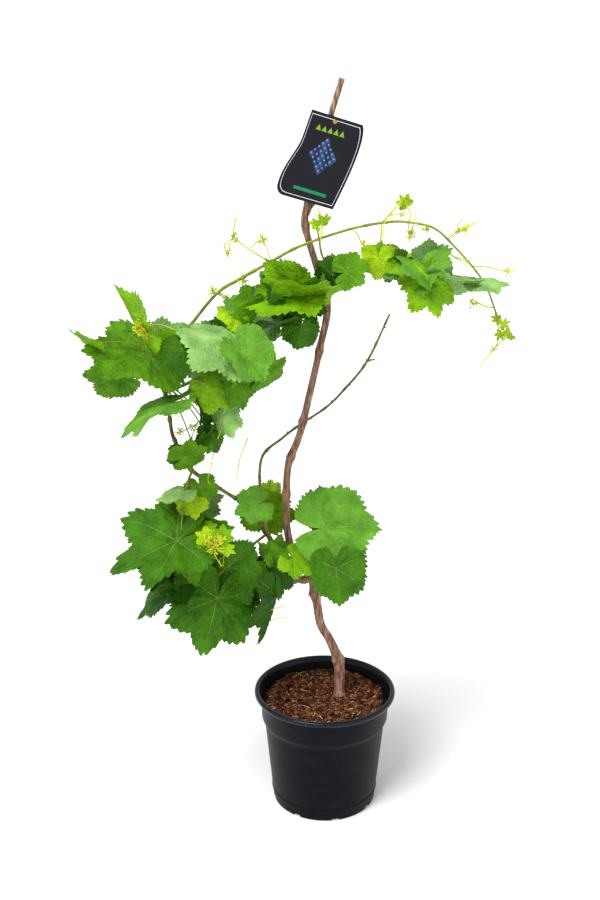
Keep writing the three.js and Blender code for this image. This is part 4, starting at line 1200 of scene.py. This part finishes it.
def make_card():
    """The black card with its rounded edge and its hole."""
    curve = bpy.data.curves.new("card", "CURVE")
    curve.dimensions, curve.fill_mode = "2D", "BOTH"
    edge = 0.12
    hole = [np.array([math.cos(a), math.sin(a)]) * CARD["hole"] for a in round_angles(24)]
    for points in (card_outline(edge), hole):
        spline = curve.splines.new("POLY")
        spline.points.add(len(points) - 1)
        for spot, (x, z) in zip(spline.points, points):
            spot.co = (x * MM, z * MM, 0, 1)
        spline.use_cyclic_u = True
    curve.extrude = (CARD["thick"] / 2 - edge) * MM
    curve.bevel_depth, curve.bevel_resolution = edge * MM, 2
    flat = bpy.data.objects.new("card_curve", curve)
    bpy.context.collection.objects.link(flat)
    mesh = evaluated_mesh(flat)
    bpy.data.objects.remove(flat)
    x0, y0, z0 = CARD["at"]
    mesh.transform(
        Matrix.Translation(Vector((x0, y0 - CARD["thick"] / 2, z0)) * MM)
        @ Matrix.Rotation(math.pi / 2, 4, "X")
        @ Matrix.Rotation(math.radians(CARD["turn"]), 4, "Z")
    )
    mesh.materials.clear()
    mesh.materials.append(plain_material("label_black", (22, 23, 30), 0.28, 60, 0.1, 0.0001))
    place("label_sheet", mesh, "label_card", "label_card")


def make_print():
    """A plain pattern on the card: a white border, a lozenge grid, a row of green triangles and a bar."""
    white, blue, slate, sky, leaf, green = range(6)
    ink = Shape()
    outer, inner = card_outline(3.4), card_outline(4.0)
    deep = 0.05 - CARD["ink"]
    loops = [(outer, 0.05), (inner, 0.05), (inner, deep), (outer, deep), (outer, 0.05)]
    border = [on_card(p, lift) for loop, lift in loops for p in loop]
    ink.add(border, [grid_faces(len(loops), len(outer))[:, ::-1]], white)
    wide, tall, across = 6.4, 8.6, 4
    for a in range(-across, across + 1):
        for b in range(-across, across + 1):
            if abs(a) + abs(b) > across or (a + b) % 2:
                continue
            x, z = -2 + a * wide * 0.56, -44 + b * tall * 0.56
            lozenge = [(x - wide / 2, z), (x, z - tall / 2), (x + wide / 2, z), (x, z + tall / 2)]
            print_patch(ink, lozenge, slate if (a // 2 + b) % 2 else blue, 0.06)
            small = [((px - x) * 0.4 + x - 0.8, (pz - z) * 0.4 + z + 1) for px, pz in lozenge]
            print_patch(ink, small, sky, 0.1)
    for n in range(5):
        x = -17 + 7.5 * n
        print_patch(ink, [(x - 3.4, -15), (x + 3.4, -15), (x, -8)], leaf, 0.06)
    print_patch(ink, [(-26, -91), (16, -91), (16, -87), (-26, -87)], green, 0.06)
    inks = [
        plain_material("ink_white", (222, 226, 232), 0.35), plain_material("ink_blue", (52, 72, 112), 0.3),
        plain_material("ink_slate", (30, 44, 76), 0.3), plain_material("ink_sky", (104, 138, 186), 0.3),
        plain_material("ink_leaf", (112, 164, 30), 0.3), plain_material("ink_green", (28, 128, 84), 0.3),
    ]
    place("label_print", ink.mesh("label_print", inks, False), "label_card", "label_card")


def make_tie():
    """The yellow-green strap round the trunk, and the brass stud that carries the card."""
    band = Shape()
    x, y = TIE["centre"]
    cx, cy, cz = CARD["at"]
    profile = [
        (0, -0.5), (0.15, -0.46), (1, -0.46), (1.1, -0.3), (1.1, 0.3), (1, 0.46), (0.15, 0.46), (0, 0.5),
    ]
    angles = round_angles(72)
    rings = []
    for out, rise in profile + profile[:1]:
        grow = TIE["band"] * out * 0.92
        rings.append(np.stack([
            x + (TIE["across"] + grow) * np.cos(angles),
            y + (TIE["back"] + grow) * np.sin(angles),
            np.full(72, cz + TIE["width"] * rise),
        ], 1))
    band.add(np.concatenate(rings), [grid_faces(len(rings), 72)], 0)
    front = cy - CARD["thick"] - 0.3
    head, shaft = TIE["head"], TIE["shaft"]
    stud = [
        (0.0, front - 1.1), (0.5, front - 1.08), (1.6, front - 0.95), (head - 0.5, front - 0.6),
        (head - 0.05, front - 0.2), (head, front), (shaft, front), (shaft, cy + 2.9), (0.0, cy + 2.9),
    ]
    spokes = round_angles(28)
    places = np.concatenate([
        np.stack([cx + r * np.cos(spokes), np.full(28, depth), cz + r * np.sin(spokes)], 1)
        for r, depth in stud
    ])
    band.add(places, [grid_faces(len(stud), 28)], 1)
    strap = plain_material("strap_green", (136, 168, 50), 0.45, 200, 0.15)
    place("label_strap", band.mesh("label_strap", [strap, brass_material()]), "label_tie", "label_tie")


# ---- Stage ----
SUNS = (  # name, the way to it, strength, and how wide it is in degrees
    ("key", (-0.55, -0.7, 1.2), 3.0, 30),
    ("fill", (0.9, -0.8, 0.5), 0.4, 60),
)
CAMERA = {"at": (-0.0352, -1.6, 1.062), "pitch": 18.44, "lens": 50.48, "sensor": 36}


def make_sky():
    """Soft studio light: white to a little above the horizon, and dimmer overhead."""
    world = bpy.data.worlds.new("studio")
    world.use_nodes = True
    tree = world.node_tree
    where = tree.nodes.new("ShaderNodeTexCoord")
    split = tree.nodes.new("ShaderNodeSeparateXYZ")
    band = tree.nodes.new("ShaderNodeValToRGB")
    fill_ramp(band.color_ramp, [(0.1, (1.02, 1.02, 1.02, 1)), (0.5, (0.6, 0.6, 0.6, 1))])
    tree.links.new(where.outputs["Generated"], split.inputs["Vector"])
    tree.links.new(split.outputs["Z"], band.inputs["Fac"])
    tree.links.new(band.outputs["Color"], tree.nodes["Background"].inputs["Color"])
    bpy.context.scene.world = world


def make_stage():
    """The camera, the pale floor and the lights."""
    camera = bpy.data.cameras.new("camera")
    camera.lens, camera.sensor_width = CAMERA["lens"], CAMERA["sensor"]
    holder = bpy.data.objects.new("camera", camera)
    holder.location = CAMERA["at"]
    holder.rotation_euler = (math.radians(90 - CAMERA["pitch"]), 0, 0)
    bpy.context.collection.objects.link(holder)
    bpy.context.scene.camera = holder
    bpy.ops.mesh.primitive_plane_add(size=40, location=(0, 0, -0.0005))
    floor = bpy.context.object
    floor.name = "floor"
    paper = (0.92, 0.92, 0.92, 1)
    floor.data.materials.append(Skin("paper").finish(Base_Color=paper, Roughness=1, Specular_IOR_Level=0))
    make_sky()
    for name, way, strength, soft in SUNS:
        lamp = bpy.data.lights.new(name, "SUN")
        lamp.energy, lamp.angle = strength, math.radians(soft)
        light = bpy.data.objects.new(name, lamp)
        light.rotation_euler = (-Vector(way)).to_track_quat("-Z", "Y").to_euler()
        bpy.context.collection.objects.link(light)
    bpy.context.scene.view_settings.view_transform = "Standard"


make_stage()
make_pot()
make_soil()
make_trunk()
make_lower_arm()
make_canes()
for mass, spec in MASSES.items():
    make_mass(mass, spec)
make_card()
make_print()
make_tie()
